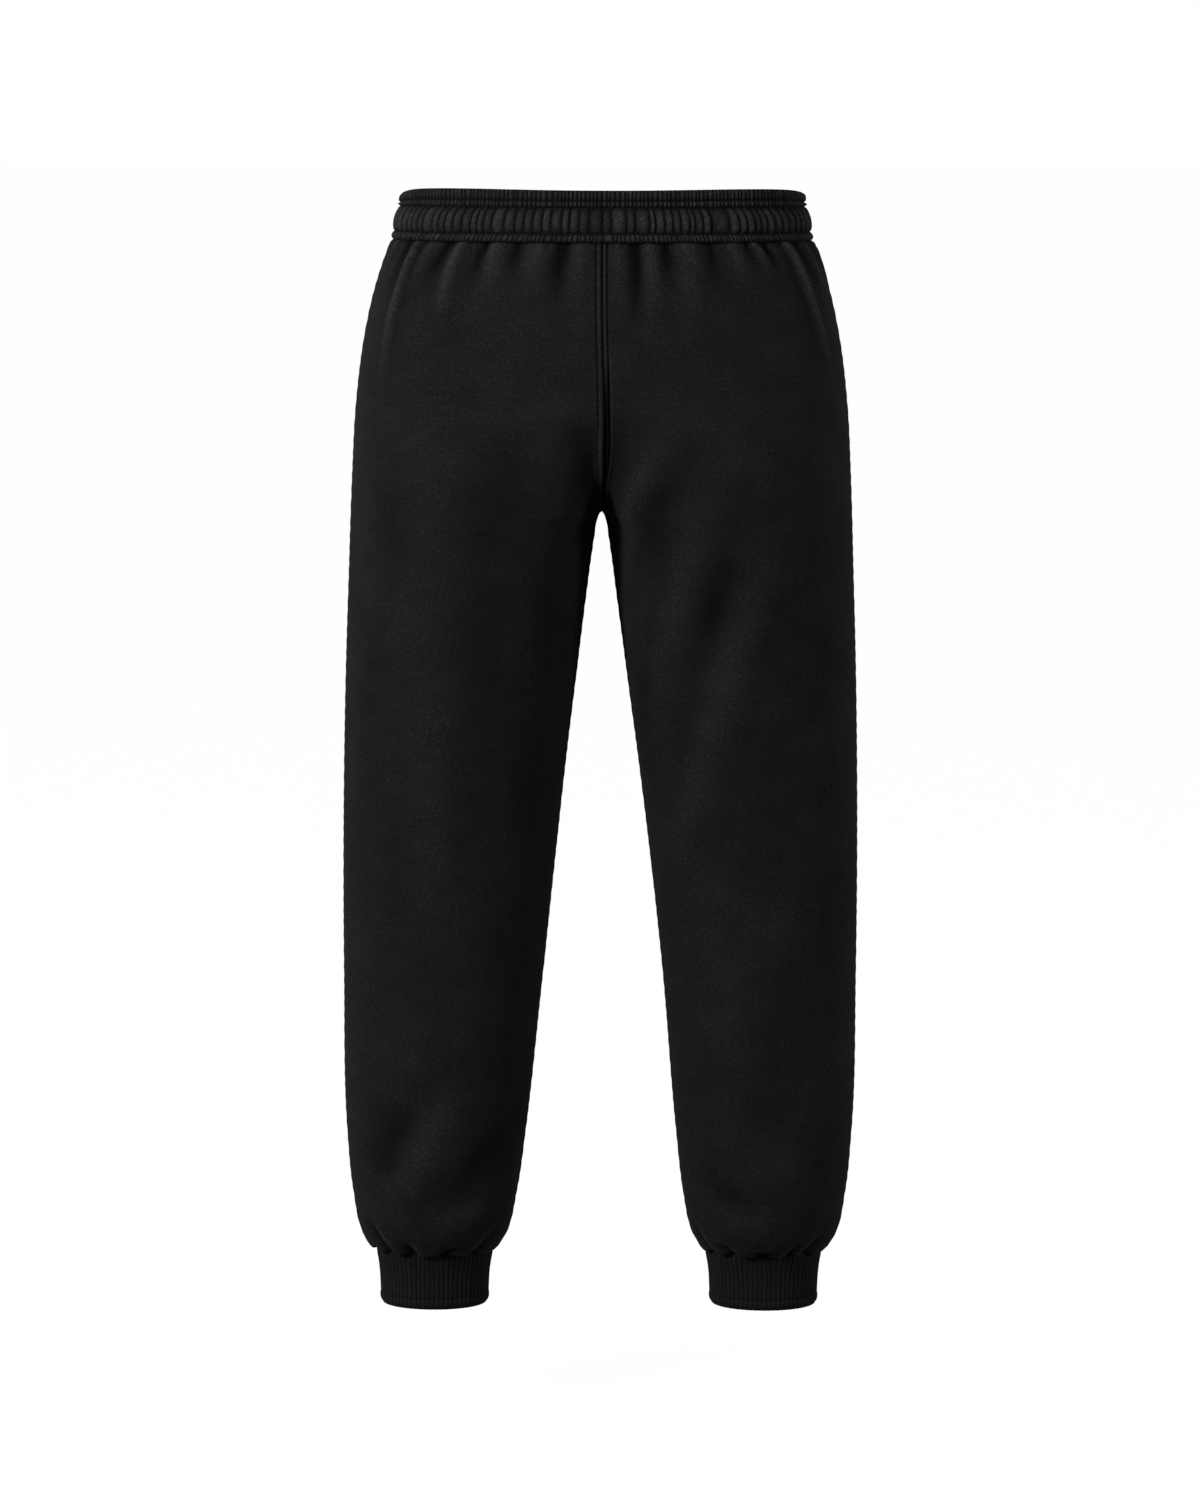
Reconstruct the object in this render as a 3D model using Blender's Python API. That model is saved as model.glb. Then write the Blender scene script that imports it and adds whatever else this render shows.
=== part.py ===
"""Jogger sweatpants, filled out and hollow, as on a general figure.

Metres, +Z up. The back of the garment faces -Y and the wearer's left is at -X. The origin is the
middle of the waist, at the height of the elastic. Seven cut-and-sewn pieces: a gathered elastic
waistband, two back and two front leg panels, and two rib cuffs. Each is one closed wall of cloth.
"""

import math
from collections import namedtuple

import bmesh
import bpy
from mathutils import Vector

# --- Driving sizes ---------------------------------------------------------------------------
FLEECE_WALL = 0.0020
BAND_WALL = 0.0030  # fleece folded over the elastic
CUFF_WALL = 0.0025  # rib knit folded double
SEAM_GAP = 0.0003

WAIST_HALF_WIDTH = 0.1845
WAIST_BACK = 0.0960
WAIST_FRONT = 0.0920
BAND_TOP_Z = 0.0275
BAND_BOTTOM_Z = -0.0165
FRONT_DROP = 0.0160  # the waist is lower at the centre front than at the back
FRONT_DROP_FADES_BY = 0.20  # below the origin

CROTCH_Z = -0.2645
CROTCH_ROUNDNESS = 5.0  # higher makes the seat seam run straighter and turn under later
CROTCH_SOFTNESS = 0.45  # how gently the seat runs into the legs away from the seam
MOST_SOFTENED = 20.0  # softening past this many softnesses changes nothing
CROTCH_SPREAD = 0.0040  # height over which the inner legs part
OVAL_ENDS_ABOVE_CROTCH = 0.010  # from here down the outer half is a leg's half ring
CUFF_SEAM_Z = -0.9475
HEM_Z = -1.0020

QUARTER_COLUMNS = 14  # facets across a panel, a quarter of the waist
CUFF_COLUMNS = 14  # facets across half a cuff
OVAL_SQUARENESS = 2.25  # 2 is an ellipse
LEG_SQUARENESS = 0.92  # 1 is an ellipse, lower is squarer

WAIST_PLEAT_DEPTH = 0.0016
WAIST_PLEAT_FADE = 0.030
HEM_PLEAT_DEPTH = 0.0024
HEM_PLEAT_FADE = 0.016
PLEATS_A_PANEL = 7

# --- Sections --------------------------------------------------------------------------------
# Half of the garment at a height: the side seam's and inseam's distance from the middle, and
# how far the cloth stands out at the back and at the front.
Section = namedtuple("Section", "z outer inner back front")
LEG_SECTIONS = (
    Section(BAND_BOTTOM_Z - SEAM_GAP, 0.1915, 0.0045, 0.1000, 0.0955),
    Section(-0.0355, 0.1985, 0.0045, 0.1060, 0.0995),
    Section(-0.0645, 0.2075, 0.0045, 0.1140, 0.1040),
    Section(-0.1010, 0.2155, 0.0045, 0.1225, 0.1080),
    Section(-0.1650, 0.2238, 0.0045, 0.1290, 0.1120),
    Section(-0.2300, 0.2275, 0.0045, 0.1270, 0.1120),
    Section(CROTCH_Z, 0.2289, 0.0045, 0.1220, 0.1100),
    Section(-0.3190, 0.2307, 0.0112, 0.1150, 0.1060),
    Section(-0.3925, 0.2332, 0.0207, 0.1070, 0.1020),
    Section(-0.5400, 0.2360, 0.0391, 0.0950, 0.0970),
    Section(-0.6900, 0.2360, 0.0554, 0.0880, 0.0880),
    Section(-0.8400, 0.2332, 0.0700, 0.0810, 0.0780),
    Section(-0.8970, 0.2278, 0.0774, 0.0770, 0.0740),
    Section(-0.9300, 0.2208, 0.0850, 0.0700, 0.0680),
    Section(CUFF_SEAM_Z, 0.2110, 0.0950, 0.0565, 0.0555),
)

# Heights of the panels' rows of facets, closer together where the form turns.
PANEL_ROWS = (
    BAND_BOTTOM_Z - SEAM_GAP, -0.024, -0.034, -0.048, -0.068, -0.095, -0.130, -0.170, -0.205,
    -0.232, -0.248, -0.2575, -0.2625, CROTCH_Z, -0.2670, -0.2720, -0.284, -0.312, -0.360, -0.430,
    -0.520, -0.620, -0.720, -0.800, -0.860, -0.900, -0.922, -0.936, CUFF_SEAM_Z,
)  # fmt: skip

# The waistband: how far each row stands out from the waist's oval on the outside and, where the
# inside has a row of its own, on the inside.
BandRow = namedtuple("BandRow", "z outside inside")
BAND_PROFILE = (
    BandRow(BAND_TOP_Z, -0.0010, -0.0010 - BAND_WALL),  # ruffled header
    BandRow(0.0195, 0.0000, None),
    BandRow(0.0160, 0.0012, None),  # narrow bead between two rows of stitches
    BandRow(0.0127, 0.0006, 0.0006 - BAND_WALL),
    BandRow(0.0065, 0.0048, None),  # channel puffed over the elastic
    BandRow(-0.0050, 0.0048, None),
    BandRow(-0.0098, 0.0020, 0.0020 - BAND_WALL),
    BandRow(BAND_BOTTOM_Z, 0.0055, 0.0055 - BAND_WALL),  # lower strip, down to the waist seam
)

# The cuff's outside, as a Section with one depth for back and front.
CUFF_PROFILE = (
    Section(CUFF_SEAM_Z - SEAM_GAP, 0.2092, 0.0966, 0.0545, 0.0535),
    Section(-0.9545, 0.2068, 0.0986, 0.0505, 0.0500),
    Section(-0.9660, 0.2044, 0.1010, 0.0470, 0.0470),
    Section(-0.9860, 0.2028, 0.1028, 0.0450, 0.0450),
    Section(-0.9990, 0.2022, 0.1036, 0.0445, 0.0445),
    Section(HEM_Z, 0.2008, 0.1050, 0.0432, 0.0432),
)

# Largest folds, as soft ridges (height above 0) or troughs (below 0) on one panel. `across` runs
# from the centre seam or inseam, 0, to the side seam, 1.
Fold = namedtuple("Fold", "panel across_top z_top across_low z_low width height")
LARGEST_FOLDS = (
    Fold("back_right", 0.44, -0.245, 0.24, -0.420, 0.017, 0.0030),
    Fold("back_right", 0.55, -0.350, 0.29, -0.560, 0.020, 0.0030),
    Fold("back_right", 0.48, -0.340, 0.33, -0.430, 0.016, -0.0025),
    Fold("back_left", 0.62, -0.210, 0.56, -0.520, 0.024, 0.0028),
    Fold("back_left", 0.52, -0.800, 0.78, -0.890, 0.016, 0.0026),
    Fold("front_right", 0.60, -0.215, 0.42, -0.470, 0.024, 0.0026),
    Fold("front_left", 0.58, -0.220, 0.34, -0.430, 0.022, 0.0026),
    Fold("front_left", 0.40, -0.820, 0.62, -0.890, 0.018, 0.0024),
)

COLOURS = {"fleece": (0.0095, 0.0095, 0.0100), "rib_knit": (0.0065, 0.0065, 0.0070)}
ROUGHNESS = {"fleece": 0.95, "rib_knit": 0.85}


# --- Reading the tables ----------------------------------------------------------------------
def value_at(rows, column, z):
    """A table's column at height z, on a smooth curve through its rows, which run downwards."""
    heights = [row.z for row in rows]
    values = [getattr(row, column) for row in rows]
    last = len(rows) - 1
    z = min(max(z, heights[last]), heights[0])
    low = next(index for index in range(1, len(rows)) if z >= heights[index])
    high = low - 1

    def slope(index):
        before, after = max(index - 1, 0), min(index + 1, last)
        return (values[after] - values[before]) / (heights[after] - heights[before])

    step = heights[low] - heights[high]
    t = (z - heights[high]) / step
    return (
        values[high] * (1 + 2 * t) * (1 - t) ** 2
        + values[low] * t * t * (3 - 2 * t)
        + slope(high) * step * t * (1 - t) ** 2
        + slope(low) * step * t * t * (t - 1)
    )


# --- The garment's surface -------------------------------------------------------------------
def signed_power(value, power):
    return math.copysign(abs(value) ** power, value)


def oval_point(across, half_width, depth):
    """A quarter of the waist's oval, from the centre seam (0) to the side seam (1)."""
    angle = across * math.pi / 2
    power = 2 / OVAL_SQUARENESS
    return half_width * math.sin(angle) ** power, depth * signed_power(math.cos(angle), power)


def leg_ring_point(across, outer, inner, depth):
    """Half of a leg's ring, from the inseam (0) to the side seam (1)."""
    angle = across * math.pi
    middle, half_width = (outer + inner) / 2, (outer - inner) / 2
    return middle - half_width * math.cos(angle), depth * max(math.sin(angle), 0) ** LEG_SQUARENESS


def smoothstep(low, high, value):
    share = min(max((value - low) / (high - low), 0), 1)
    return share * share * (3 - 2 * share)


def seam_share(across, z):
    """How far out the inner cloth lies: 1 on the body and 0 down the legs. At the centre seam it
    curves in under the seat to a point, and away from the seam it turns ever more softly."""
    rise = (z - CROTCH_Z) / (BAND_BOTTOM_Z - CROTCH_Z)
    body = 1 - max(1 - rise, 0) ** CROTCH_ROUNDNESS if rise > 0 else CROTCH_ROUNDNESS * rise
    softness = CROTCH_SOFTNESS * math.sin(math.pi * across)
    if softness > 0 and body < MOST_SOFTENED * softness:
        body = softness * math.log1p(math.exp(body / softness))
    return math.sqrt(min(max(body, 0), 1))


def waist_drop(forward, front):
    """How much lower the waist is at a point of its oval: only the front half dips."""
    share = max(forward / front, 0)
    return FRONT_DROP * (0.5 * share + 0.5 * share * share)


def pleats(across, z):
    """Gathers below the waist seam and above the cuff seam."""
    wave = math.cos(2 * math.pi * PLEATS_A_PANEL * across)
    below_waist = BAND_BOTTOM_Z - z
    above_cuff = z - CUFF_SEAM_Z
    at_waist = WAIST_PLEAT_DEPTH * math.exp(-below_waist / WAIST_PLEAT_FADE)
    at_hem = HEM_PLEAT_DEPTH * math.exp(-above_cuff / HEM_PLEAT_FADE)
    at_seams = math.sin(math.pi * across) ** 0.5 if 0 < across < 1 else 0.0
    return wave * (at_waist + at_hem) * at_seams


def folds(panel, across, z, girth):
    """How far the panel's largest folds lift the cloth here."""
    lift = 0.0
    for fold in LARGEST_FOLDS:
        if fold.panel != panel:
            continue
        run = Vector(((fold.across_low - fold.across_top) * girth, fold.z_low - fold.z_top))
        place = Vector(((across - fold.across_top) * girth, z - fold.z_top))
        along = min(max(place.dot(run) / run.length_squared, 0), 1)
        off = (place - run * along).length
        taper = math.sin(math.pi * (0.08 + 0.84 * along))
        lift += fold.height * taper * math.exp(-((off / fold.width) ** 2))
    return lift


def smooth_panel_point(facing, across, z):
    """A point of the right half before pleats and folds. Facing is -1 for the back, 1 for front."""
    depth = value_at(LEG_SECTIONS, "back" if facing < 0 else "front", z)
    outer = value_at(LEG_SECTIONS, "outer", z)
    parted = 1 - math.exp(-max(CROTCH_Z - z, 0) / CROTCH_SPREAD)
    inner = value_at(LEG_SECTIONS, "inner", z) * parted
    oval_x, oval_y = oval_point(across, outer, depth)
    ring_x, ring_y = leg_ring_point(across, outer, inner, depth)
    notch = 0.0
    if across < 0.5:
        notch = (1 - seam_share(across, z)) * (1 - ring_y / depth)
        ring_y = depth
    share = smoothstep(CROTCH_Z + OVAL_ENDS_ABOVE_CROTCH, BAND_BOTTOM_Z, z)
    x = share * oval_x + (1 - share) * ring_x
    y = facing * (share * oval_y + (1 - share) * ring_y) * (1 - notch)
    level = z - waist_drop(y, depth) * smoothstep(-FRONT_DROP_FADES_BY, BAND_BOTTOM_Z, z)
    return Vector((x, y, level))


def panel_normal(facing, across, z):
    """The way out of the cloth, level at the top and bottom edges and along X at the seams."""
    step_across, step_z = 0.004, 0.0008
    low_across, high_across = max(across - step_across, 0), min(across + step_across, 1)
    low_z, high_z = max(z - step_z, CUFF_SEAM_Z), min(z + step_z, LEG_SECTIONS[0].z)
    along = smooth_panel_point(facing, high_across, z) - smooth_panel_point(facing, low_across, z)
    up = smooth_panel_point(facing, across, high_z) - smooth_panel_point(facing, across, low_z)
    normal = along.cross(up) * -facing
    on_side_seam = across == 1
    on_inseam = across == 0 and z <= CROTCH_Z
    if on_side_seam or on_inseam:
        normal.y = 0
    if z in (LEG_SECTIONS[0].z, CUFF_SEAM_Z):
        normal.z = 0
    return normal.normalized()


def panel_skins(panel, side, facing):
    """The outer and inner points of one panel, row by row, clear of the seams by half a gap."""
    outer_skin, inner_skin = [], []
    half_gap = SEAM_GAP / 2
    for z in PANEL_ROWS:
        depth = value_at(LEG_SECTIONS, "back", z)
        girth = depth * math.pi / 2 + value_at(LEG_SECTIONS, "outer", z) / 2
        for column in range(QUARTER_COLUMNS + 1):
            across = column / QUARTER_COLUMNS
            normal = panel_normal(facing, across, z)
            point = smooth_panel_point(facing, across, z)
            lift = pleats(across, z)
            if 0 < across < 1:
                lift += folds(panel, across, z, girth)
            point = point + normal * lift + Vector((half_gap, facing * half_gap, 0))
            inside = point - normal * FLEECE_WALL
            outer_skin.append(Vector((point.x * side, point.y, point.z)))
            inner_skin.append(Vector((inside.x * side, inside.y, inside.z)))
    return outer_skin, inner_skin


# --- Making meshes ---------------------------------------------------------------------------
def add_object(name, mesh, material, collection):
    mesh.materials.append(material)
    mesh.shade_smooth()
    piece = bpy.data.objects.new(name, mesh)
    collection.objects.link(piece)
    return piece


def finish_mesh(shape, name):
    bmesh.ops.recalc_face_normals(shape, faces=shape.faces)
    mesh = bpy.data.meshes.new(name)
    shape.to_mesh(mesh)
    shape.free()
    return mesh


def panel_mesh(name, outer_skin, inner_skin):
    """Joins two skins of the same grid into one closed wall, edge to edge."""
    shape = bmesh.new()
    across_count = QUARTER_COLUMNS + 1
    rows = len(PANEL_ROWS)
    skins = [[shape.verts.new(point) for point in skin] for skin in (outer_skin, inner_skin)]
    for skin in skins:
        for row in range(rows - 1):
            for column in range(QUARTER_COLUMNS):
                corner = row * across_count + column
                below = corner + across_count
                shape.faces.new([skin[corner], skin[corner + 1], skin[below + 1], skin[below]])
    top = list(range(across_count))
    bottom = [index + (rows - 1) * across_count for index in range(across_count - 1, -1, -1)]
    far_side = [row * across_count + QUARTER_COLUMNS for row in range(1, rows - 1)]
    near_side = [row * across_count for row in range(rows - 2, 0, -1)]
    border = top + far_side + bottom + near_side
    for here, following in zip(border, border[1:] + border[:1]):
        outer, inner = skins
        shape.faces.new([outer[here], outer[following], inner[following], inner[here]])
    return finish_mesh(shape, name)


def ring_mesh(name, rings):
    """Joins closed rings of equal counts, the last to the first, into one closed band."""
    shape = bmesh.new()
    loops = [[shape.verts.new(point) for point in ring] for ring in rings]
    count = len(loops[0])
    for loop, following in zip(loops, loops[1:] + loops[:1]):
        for index in range(count):
            step = (index + 1) % count
            shape.faces.new([loop[index], loop[step], following[step], following[index]])
    return finish_mesh(shape, name)


def waistband_ring(row, out):
    """One level of the waistband, standing out so far, all round from the centre back."""
    ring = []
    for index in range(4 * QUARTER_COLUMNS):
        quarter, column = divmod(index, QUARTER_COLUMNS)
        across = column / QUARTER_COLUMNS
        if quarter in (1, 3):
            across = 1 - across
        side = 1 if quarter < 2 else -1
        facing = -1 if quarter in (0, 3) else 1
        depth = WAIST_BACK if facing < 0 else WAIST_FRONT
        x, y = oval_point(across, WAIST_HALF_WIDTH + out, depth + out)
        level = row.z - waist_drop(facing * y, depth + out)
        ring.append(Vector((side * x, facing * y, level)))
    return ring


def cuff_ring(row, inward, side):
    """One level of a cuff, all round from the inseam."""
    ring = []
    for index in range(2 * CUFF_COLUMNS):
        half, column = divmod(index, CUFF_COLUMNS)
        across = column / CUFF_COLUMNS if half == 0 else 1 - column / CUFF_COLUMNS
        facing = -1 if half == 0 else 1
        depth = row.back if facing < 0 else row.front
        x, y = leg_ring_point(across, row.outer - inward, row.inner + inward, depth - inward)
        ring.append(Vector((side * x, facing * y, row.z)))
    return ring


def make_material(name):
    material = bpy.data.materials.new(name)
    material.use_nodes = True
    shader = material.node_tree.nodes["Principled BSDF"]
    shader.inputs["Base Color"].default_value = (*COLOURS[name], 1)
    shader.inputs["Roughness"].default_value = ROUGHNESS[name]
    shader.inputs["Metallic"].default_value = 0
    return material


# --- The pieces ------------------------------------------------------------------------------
def main():
    for old in list(bpy.data.objects):
        bpy.data.objects.remove(old, do_unlink=True)
    garment = bpy.data.collections.new("jogger_sweatpants")
    bpy.context.scene.collection.children.link(garment)
    fleece, rib_knit = make_material("fleece"), make_material("rib_knit")

    band_outside = [waistband_ring(row, row.outside) for row in BAND_PROFILE]
    lined_rows = [row for row in reversed(BAND_PROFILE) if row.inside is not None]
    band_inside = [waistband_ring(row, row.inside) for row in lined_rows]
    add_object("waistband", ring_mesh("waistband", band_outside + band_inside), fleece, garment)

    for side, side_name in ((-1, "left"), (1, "right")):
        for facing, facing_name in ((-1, "back"), (1, "front")):
            panel = f"{facing_name}_{side_name}"
            name = f"leg_{panel}"
            outer_skin, inner_skin = panel_skins(panel, side, facing)
            add_object(name, panel_mesh(name, outer_skin, inner_skin), fleece, garment)
        name = f"cuff_{side_name}"
        cuff_outside = [cuff_ring(row, 0, side) for row in CUFF_PROFILE]
        cuff_inside = [cuff_ring(row, CUFF_WALL, side) for row in reversed(CUFF_PROFILE)]
        add_object(name, ring_mesh(name, cuff_outside + cuff_inside), rib_knit, garment)


main()
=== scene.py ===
# %% [markdown]
# # Jogger sweatpants in black fleece
#
# This lesson dresses a plain solid model of a pair of joggers in real cloth: a waistband gathered
# on elastic, four leg panels of brushed fleece and two rib-knit cuffs. The joggers are filled out
# as if worn, with nobody in them. The solid model is loaded first and never moved. Every piece
# of cloth is then made on its form and stands in for it.

# %% Load the solid model
import math
from collections import namedtuple

import bpy
import numpy as np
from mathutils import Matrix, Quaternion, Vector


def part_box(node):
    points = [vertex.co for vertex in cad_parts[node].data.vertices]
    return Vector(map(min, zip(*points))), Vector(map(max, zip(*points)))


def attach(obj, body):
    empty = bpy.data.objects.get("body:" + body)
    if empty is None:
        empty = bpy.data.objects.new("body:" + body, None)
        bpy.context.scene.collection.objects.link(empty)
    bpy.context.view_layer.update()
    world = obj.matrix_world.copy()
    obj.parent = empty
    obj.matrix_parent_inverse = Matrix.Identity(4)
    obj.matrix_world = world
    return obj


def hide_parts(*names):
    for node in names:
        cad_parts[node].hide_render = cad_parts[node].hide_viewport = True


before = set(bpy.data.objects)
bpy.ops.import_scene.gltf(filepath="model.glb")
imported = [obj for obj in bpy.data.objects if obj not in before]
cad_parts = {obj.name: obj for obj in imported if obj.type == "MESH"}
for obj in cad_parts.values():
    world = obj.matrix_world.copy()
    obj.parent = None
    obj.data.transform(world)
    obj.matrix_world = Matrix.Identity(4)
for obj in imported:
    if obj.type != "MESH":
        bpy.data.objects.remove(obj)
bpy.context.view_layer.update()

# %% [markdown]
# ## The garment's own measures
#
# The seams' heights come from the solid pieces, so that the cloth meets where they meet. The rest
# is a pattern cutter's table. Each row is a level cut through half of the garment: how far the
# side seam and the inseam are from the middle, and how far the cloth stands out behind and in
# front. A smooth curve through each column gives the form in between, which is easier to judge
# and to correct than a cage of points.

# %% Seams and sections
WAIST_SEAM_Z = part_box("leg_back_left")[1][2]
CUFF_SEAM_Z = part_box("leg_back_left")[0][2]
HEM_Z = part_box("cuff_left")[0][2]
BAND_TOP_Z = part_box("waistband")[1][2]
CROTCH_Z = -0.2645

Section = namedtuple("Section", "z outer inner back front")
LEG_SECTIONS = (
    Section(WAIST_SEAM_Z, 0.1915, 0.0045, 0.1000, 0.0955),
    Section(-0.0355, 0.1985, 0.0045, 0.1060, 0.0995),
    Section(-0.0645, 0.2075, 0.0045, 0.1140, 0.1040),
    Section(-0.1010, 0.2155, 0.0045, 0.1225, 0.1080),
    Section(-0.1650, 0.2238, 0.0045, 0.1290, 0.1120),
    Section(-0.2300, 0.2275, 0.0045, 0.1270, 0.1120),
    Section(CROTCH_Z, 0.2289, 0.0045, 0.1220, 0.1100),
    Section(-0.3190, 0.2307, 0.0112, 0.1150, 0.1060),
    Section(-0.3925, 0.2332, 0.0207, 0.1070, 0.1020),
    Section(-0.5400, 0.2360, 0.0391, 0.0950, 0.0970),
    Section(-0.6900, 0.2360, 0.0554, 0.0880, 0.0880),
    Section(-0.8400, 0.2332, 0.0700, 0.0810, 0.0780),
    Section(-0.8970, 0.2278, 0.0774, 0.0770, 0.0740),
    Section(-0.9300, 0.2208, 0.0850, 0.0700, 0.0680),
    Section(CUFF_SEAM_Z, 0.2110, 0.0950, 0.0565, 0.0555),
)
CUFF_SECTIONS = (
    Section(-0.9430, 0.2052, 0.1002, 0.0500, 0.0495),
    Section(-0.9500, 0.2062, 0.0991, 0.0505, 0.0500),
    Section(-0.9550, 0.2060, 0.0993, 0.0500, 0.0497),
    Section(-0.9620, 0.2048, 0.1006, 0.0480, 0.0478),
    Section(-0.9720, 0.2036, 0.1020, 0.0462, 0.0462),
    Section(-0.9860, 0.2028, 0.1028, 0.0452, 0.0452),
    Section(HEM_Z, 0.2022, 0.1036, 0.0446, 0.0446),
)
print("waist seam", round(WAIST_SEAM_Z, 4), "cuff seam", round(CUFF_SEAM_Z, 4))


# %% Read a column of a table at any height
def curve_at(table, column, z):
    """A smooth curve through one column of a table whose rows run downwards."""
    heights = np.array([row.z for row in table])[::-1]
    values = np.array([getattr(row, column) for row in table])[::-1]
    slopes = np.gradient(values, heights, edge_order=1)
    z = np.clip(z, heights[0], heights[-1])
    low = np.clip(np.searchsorted(heights, z, side="right") - 1, 0, len(heights) - 2)
    step = heights[low + 1] - heights[low]
    t = (z - heights[low]) / step
    ends = values[low] * (1 + 2 * t) * (1 - t) ** 2 + values[low + 1] * t * t * (3 - 2 * t)
    return ends + step * t * (1 - t) * (slopes[low] * (1 - t) - slopes[low + 1] * t)


def smoothstep(low, high, value):
    share = np.clip((value - low) / (high - low), 0, 1)
    return share * share * (3 - 2 * share)


def bump(distance, width):
    """1 at no distance, falling softly to 0 past the width."""
    return np.exp(-((distance / width) ** 2))


def running_length(steps):
    """Distance along a line at each of its points, from the lengths of its steps."""
    return np.concatenate([[0], np.cumsum(steps)])


def add_object(name, data):
    made = bpy.data.objects.new(name, data)
    bpy.context.scene.collection.objects.link(made)
    return made


print("hip half-width:", round(float(curve_at(LEG_SECTIONS, "outer", -0.165)), 4))

# %% [markdown]
# ## The form of a leg panel
#
# A panel runs across from the centre seam, or the inseam below the crotch, to the side seam. Its
# level section is a blend: a quarter of the waist's oval at the top, and half of a leg's ring from
# the crotch down. The hard part is the seat, where one oval becomes two rings. Here the inner
# cloth is let in towards the middle by a share that follows the curve of a seat seam, and that
# share is softened away from the seam, so that the cloth rolls under instead of creasing.

# %% Panel form
OVAL_SQUARENESS = 2.25
LEG_SQUARENESS = 0.92
CROTCH_ROUNDNESS = 5.0
CROTCH_SOFTNESS = 0.45
CROTCH_SPREAD = 0.0040
OVAL_ENDS_ABOVE_CROTCH = 0.010
FRONT_DROP = 0.0160
FRONT_DROP_FADES_BY = 0.20
SEAM_OFFSET = 0.0023  # low on the seat, the seam bows a little to the wearer's right


def oval_point(across, half_width, depth):
    angle = across * math.pi / 2
    power = 2 / OVAL_SQUARENESS
    cosine = np.clip(np.cos(angle), 0, 1)
    return half_width * np.sin(angle) ** power, depth * cosine**power


def leg_ring_point(across, outer, inner, depth):
    angle = across * math.pi
    x = (outer + inner) / 2 - (outer - inner) / 2 * np.cos(angle)
    return x, depth * np.clip(np.sin(angle), 0, 1) ** LEG_SQUARENESS


def seam_share(across, z):
    """1 on the body, 0 down the legs, and between them the curve of the seat seam."""
    rise = (z - CROTCH_Z) / (WAIST_SEAM_Z - CROTCH_Z)
    body = np.where(
        rise > 0, 1 - np.clip(1 - rise, 0, 1) ** CROTCH_ROUNDNESS, CROTCH_ROUNDNESS * rise
    )
    softness = np.maximum(CROTCH_SOFTNESS * np.sin(math.pi * across), 1e-4)
    soft_body = softness * np.logaddexp(0, body / softness)
    return np.sqrt(np.clip(soft_body, 0, 1))


def waist_drop(forward, front):
    """The waist dips towards the front."""
    share = np.clip(forward / front, 0, 1)
    return FRONT_DROP * (0.5 * share + 0.5 * share * share)


def panel_form(facing, across, z):
    """Points of a right-hand panel, by row and column. Facing is -1 for a back, 1 for a front."""
    across, z = np.broadcast_arrays(across[None, :], z[:, None])
    depth = curve_at(LEG_SECTIONS, "back" if facing < 0 else "front", z)
    outer = curve_at(LEG_SECTIONS, "outer", z)
    parted = 1 - np.exp(-np.clip(CROTCH_Z - z, 0, None) / CROTCH_SPREAD)
    inner = curve_at(LEG_SECTIONS, "inner", z) * parted
    oval_x, oval_y = oval_point(across, outer, depth)
    ring_x, ring_y = leg_ring_point(across, outer, inner, depth)
    inner_half = across < 0.5
    notch = np.where(inner_half, (1 - seam_share(across, z)) * (1 - ring_y / depth), 0)
    ring_y = np.where(inner_half, depth, ring_y)
    share = smoothstep(CROTCH_Z + OVAL_ENDS_ABOVE_CROTCH, WAIST_SEAM_Z, z)
    x = share * oval_x + (1 - share) * ring_x
    y = facing * (share * oval_y + (1 - share) * ring_y) * (1 - notch)
    drop = waist_drop(y, depth) * smoothstep(-FRONT_DROP_FADES_BY, WAIST_SEAM_Z, z)
    return np.stack([x, y, z - drop], axis=-1)


def spaced(count, low, high, crowd):
    """Values from low to high, closer together where crowd(value) is higher."""
    fine = np.linspace(low, high, 4001)
    weight = np.cumsum(crowd(fine))
    weight = (weight - weight[0]) / (weight[-1] - weight[0])
    return np.interp(np.linspace(0, 1, count), weight, fine)


def blurred(grid, passes):
    """A grid smoothed by averaging each point with its neighbours, many times over."""
    for _ in range(passes):
        grid = np.pad(grid, 1, mode="edge")
        grid = (grid[:-2] + 2 * grid[1:-1] + grid[2:]) / 4
        grid = (grid[:, :-2] + 2 * grid[:, 1:-1] + grid[:, 2:]) / 4
    return grid


def outward(grid, turn):
    """The way out of the cloth at each point of a grid."""
    along, down = np.gradient(grid, axis=1), np.gradient(grid, axis=0)
    normal = np.cross(along, down) * turn
    return normal / np.maximum(np.linalg.norm(normal, axis=-1, keepdims=True), 1e-12)


def arc_across(grid):
    """Distance along the cloth from the first column, for each point."""
    steps = np.linalg.norm(np.diff(grid, axis=1), axis=-1)
    return np.concatenate([np.zeros((len(grid), 1)), np.cumsum(steps, axis=1)], axis=1)


def nominal_girth(grid):
    """Twice the cloth from the middle of a panel to its side seam, which the crotch leaves alone."""
    arc = arc_across(grid)
    middle = np.array([np.interp(0.5, PANEL_ACROSS, row) for row in arc])
    return 2 * (arc[:, -1] - middle)[:, None]


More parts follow.
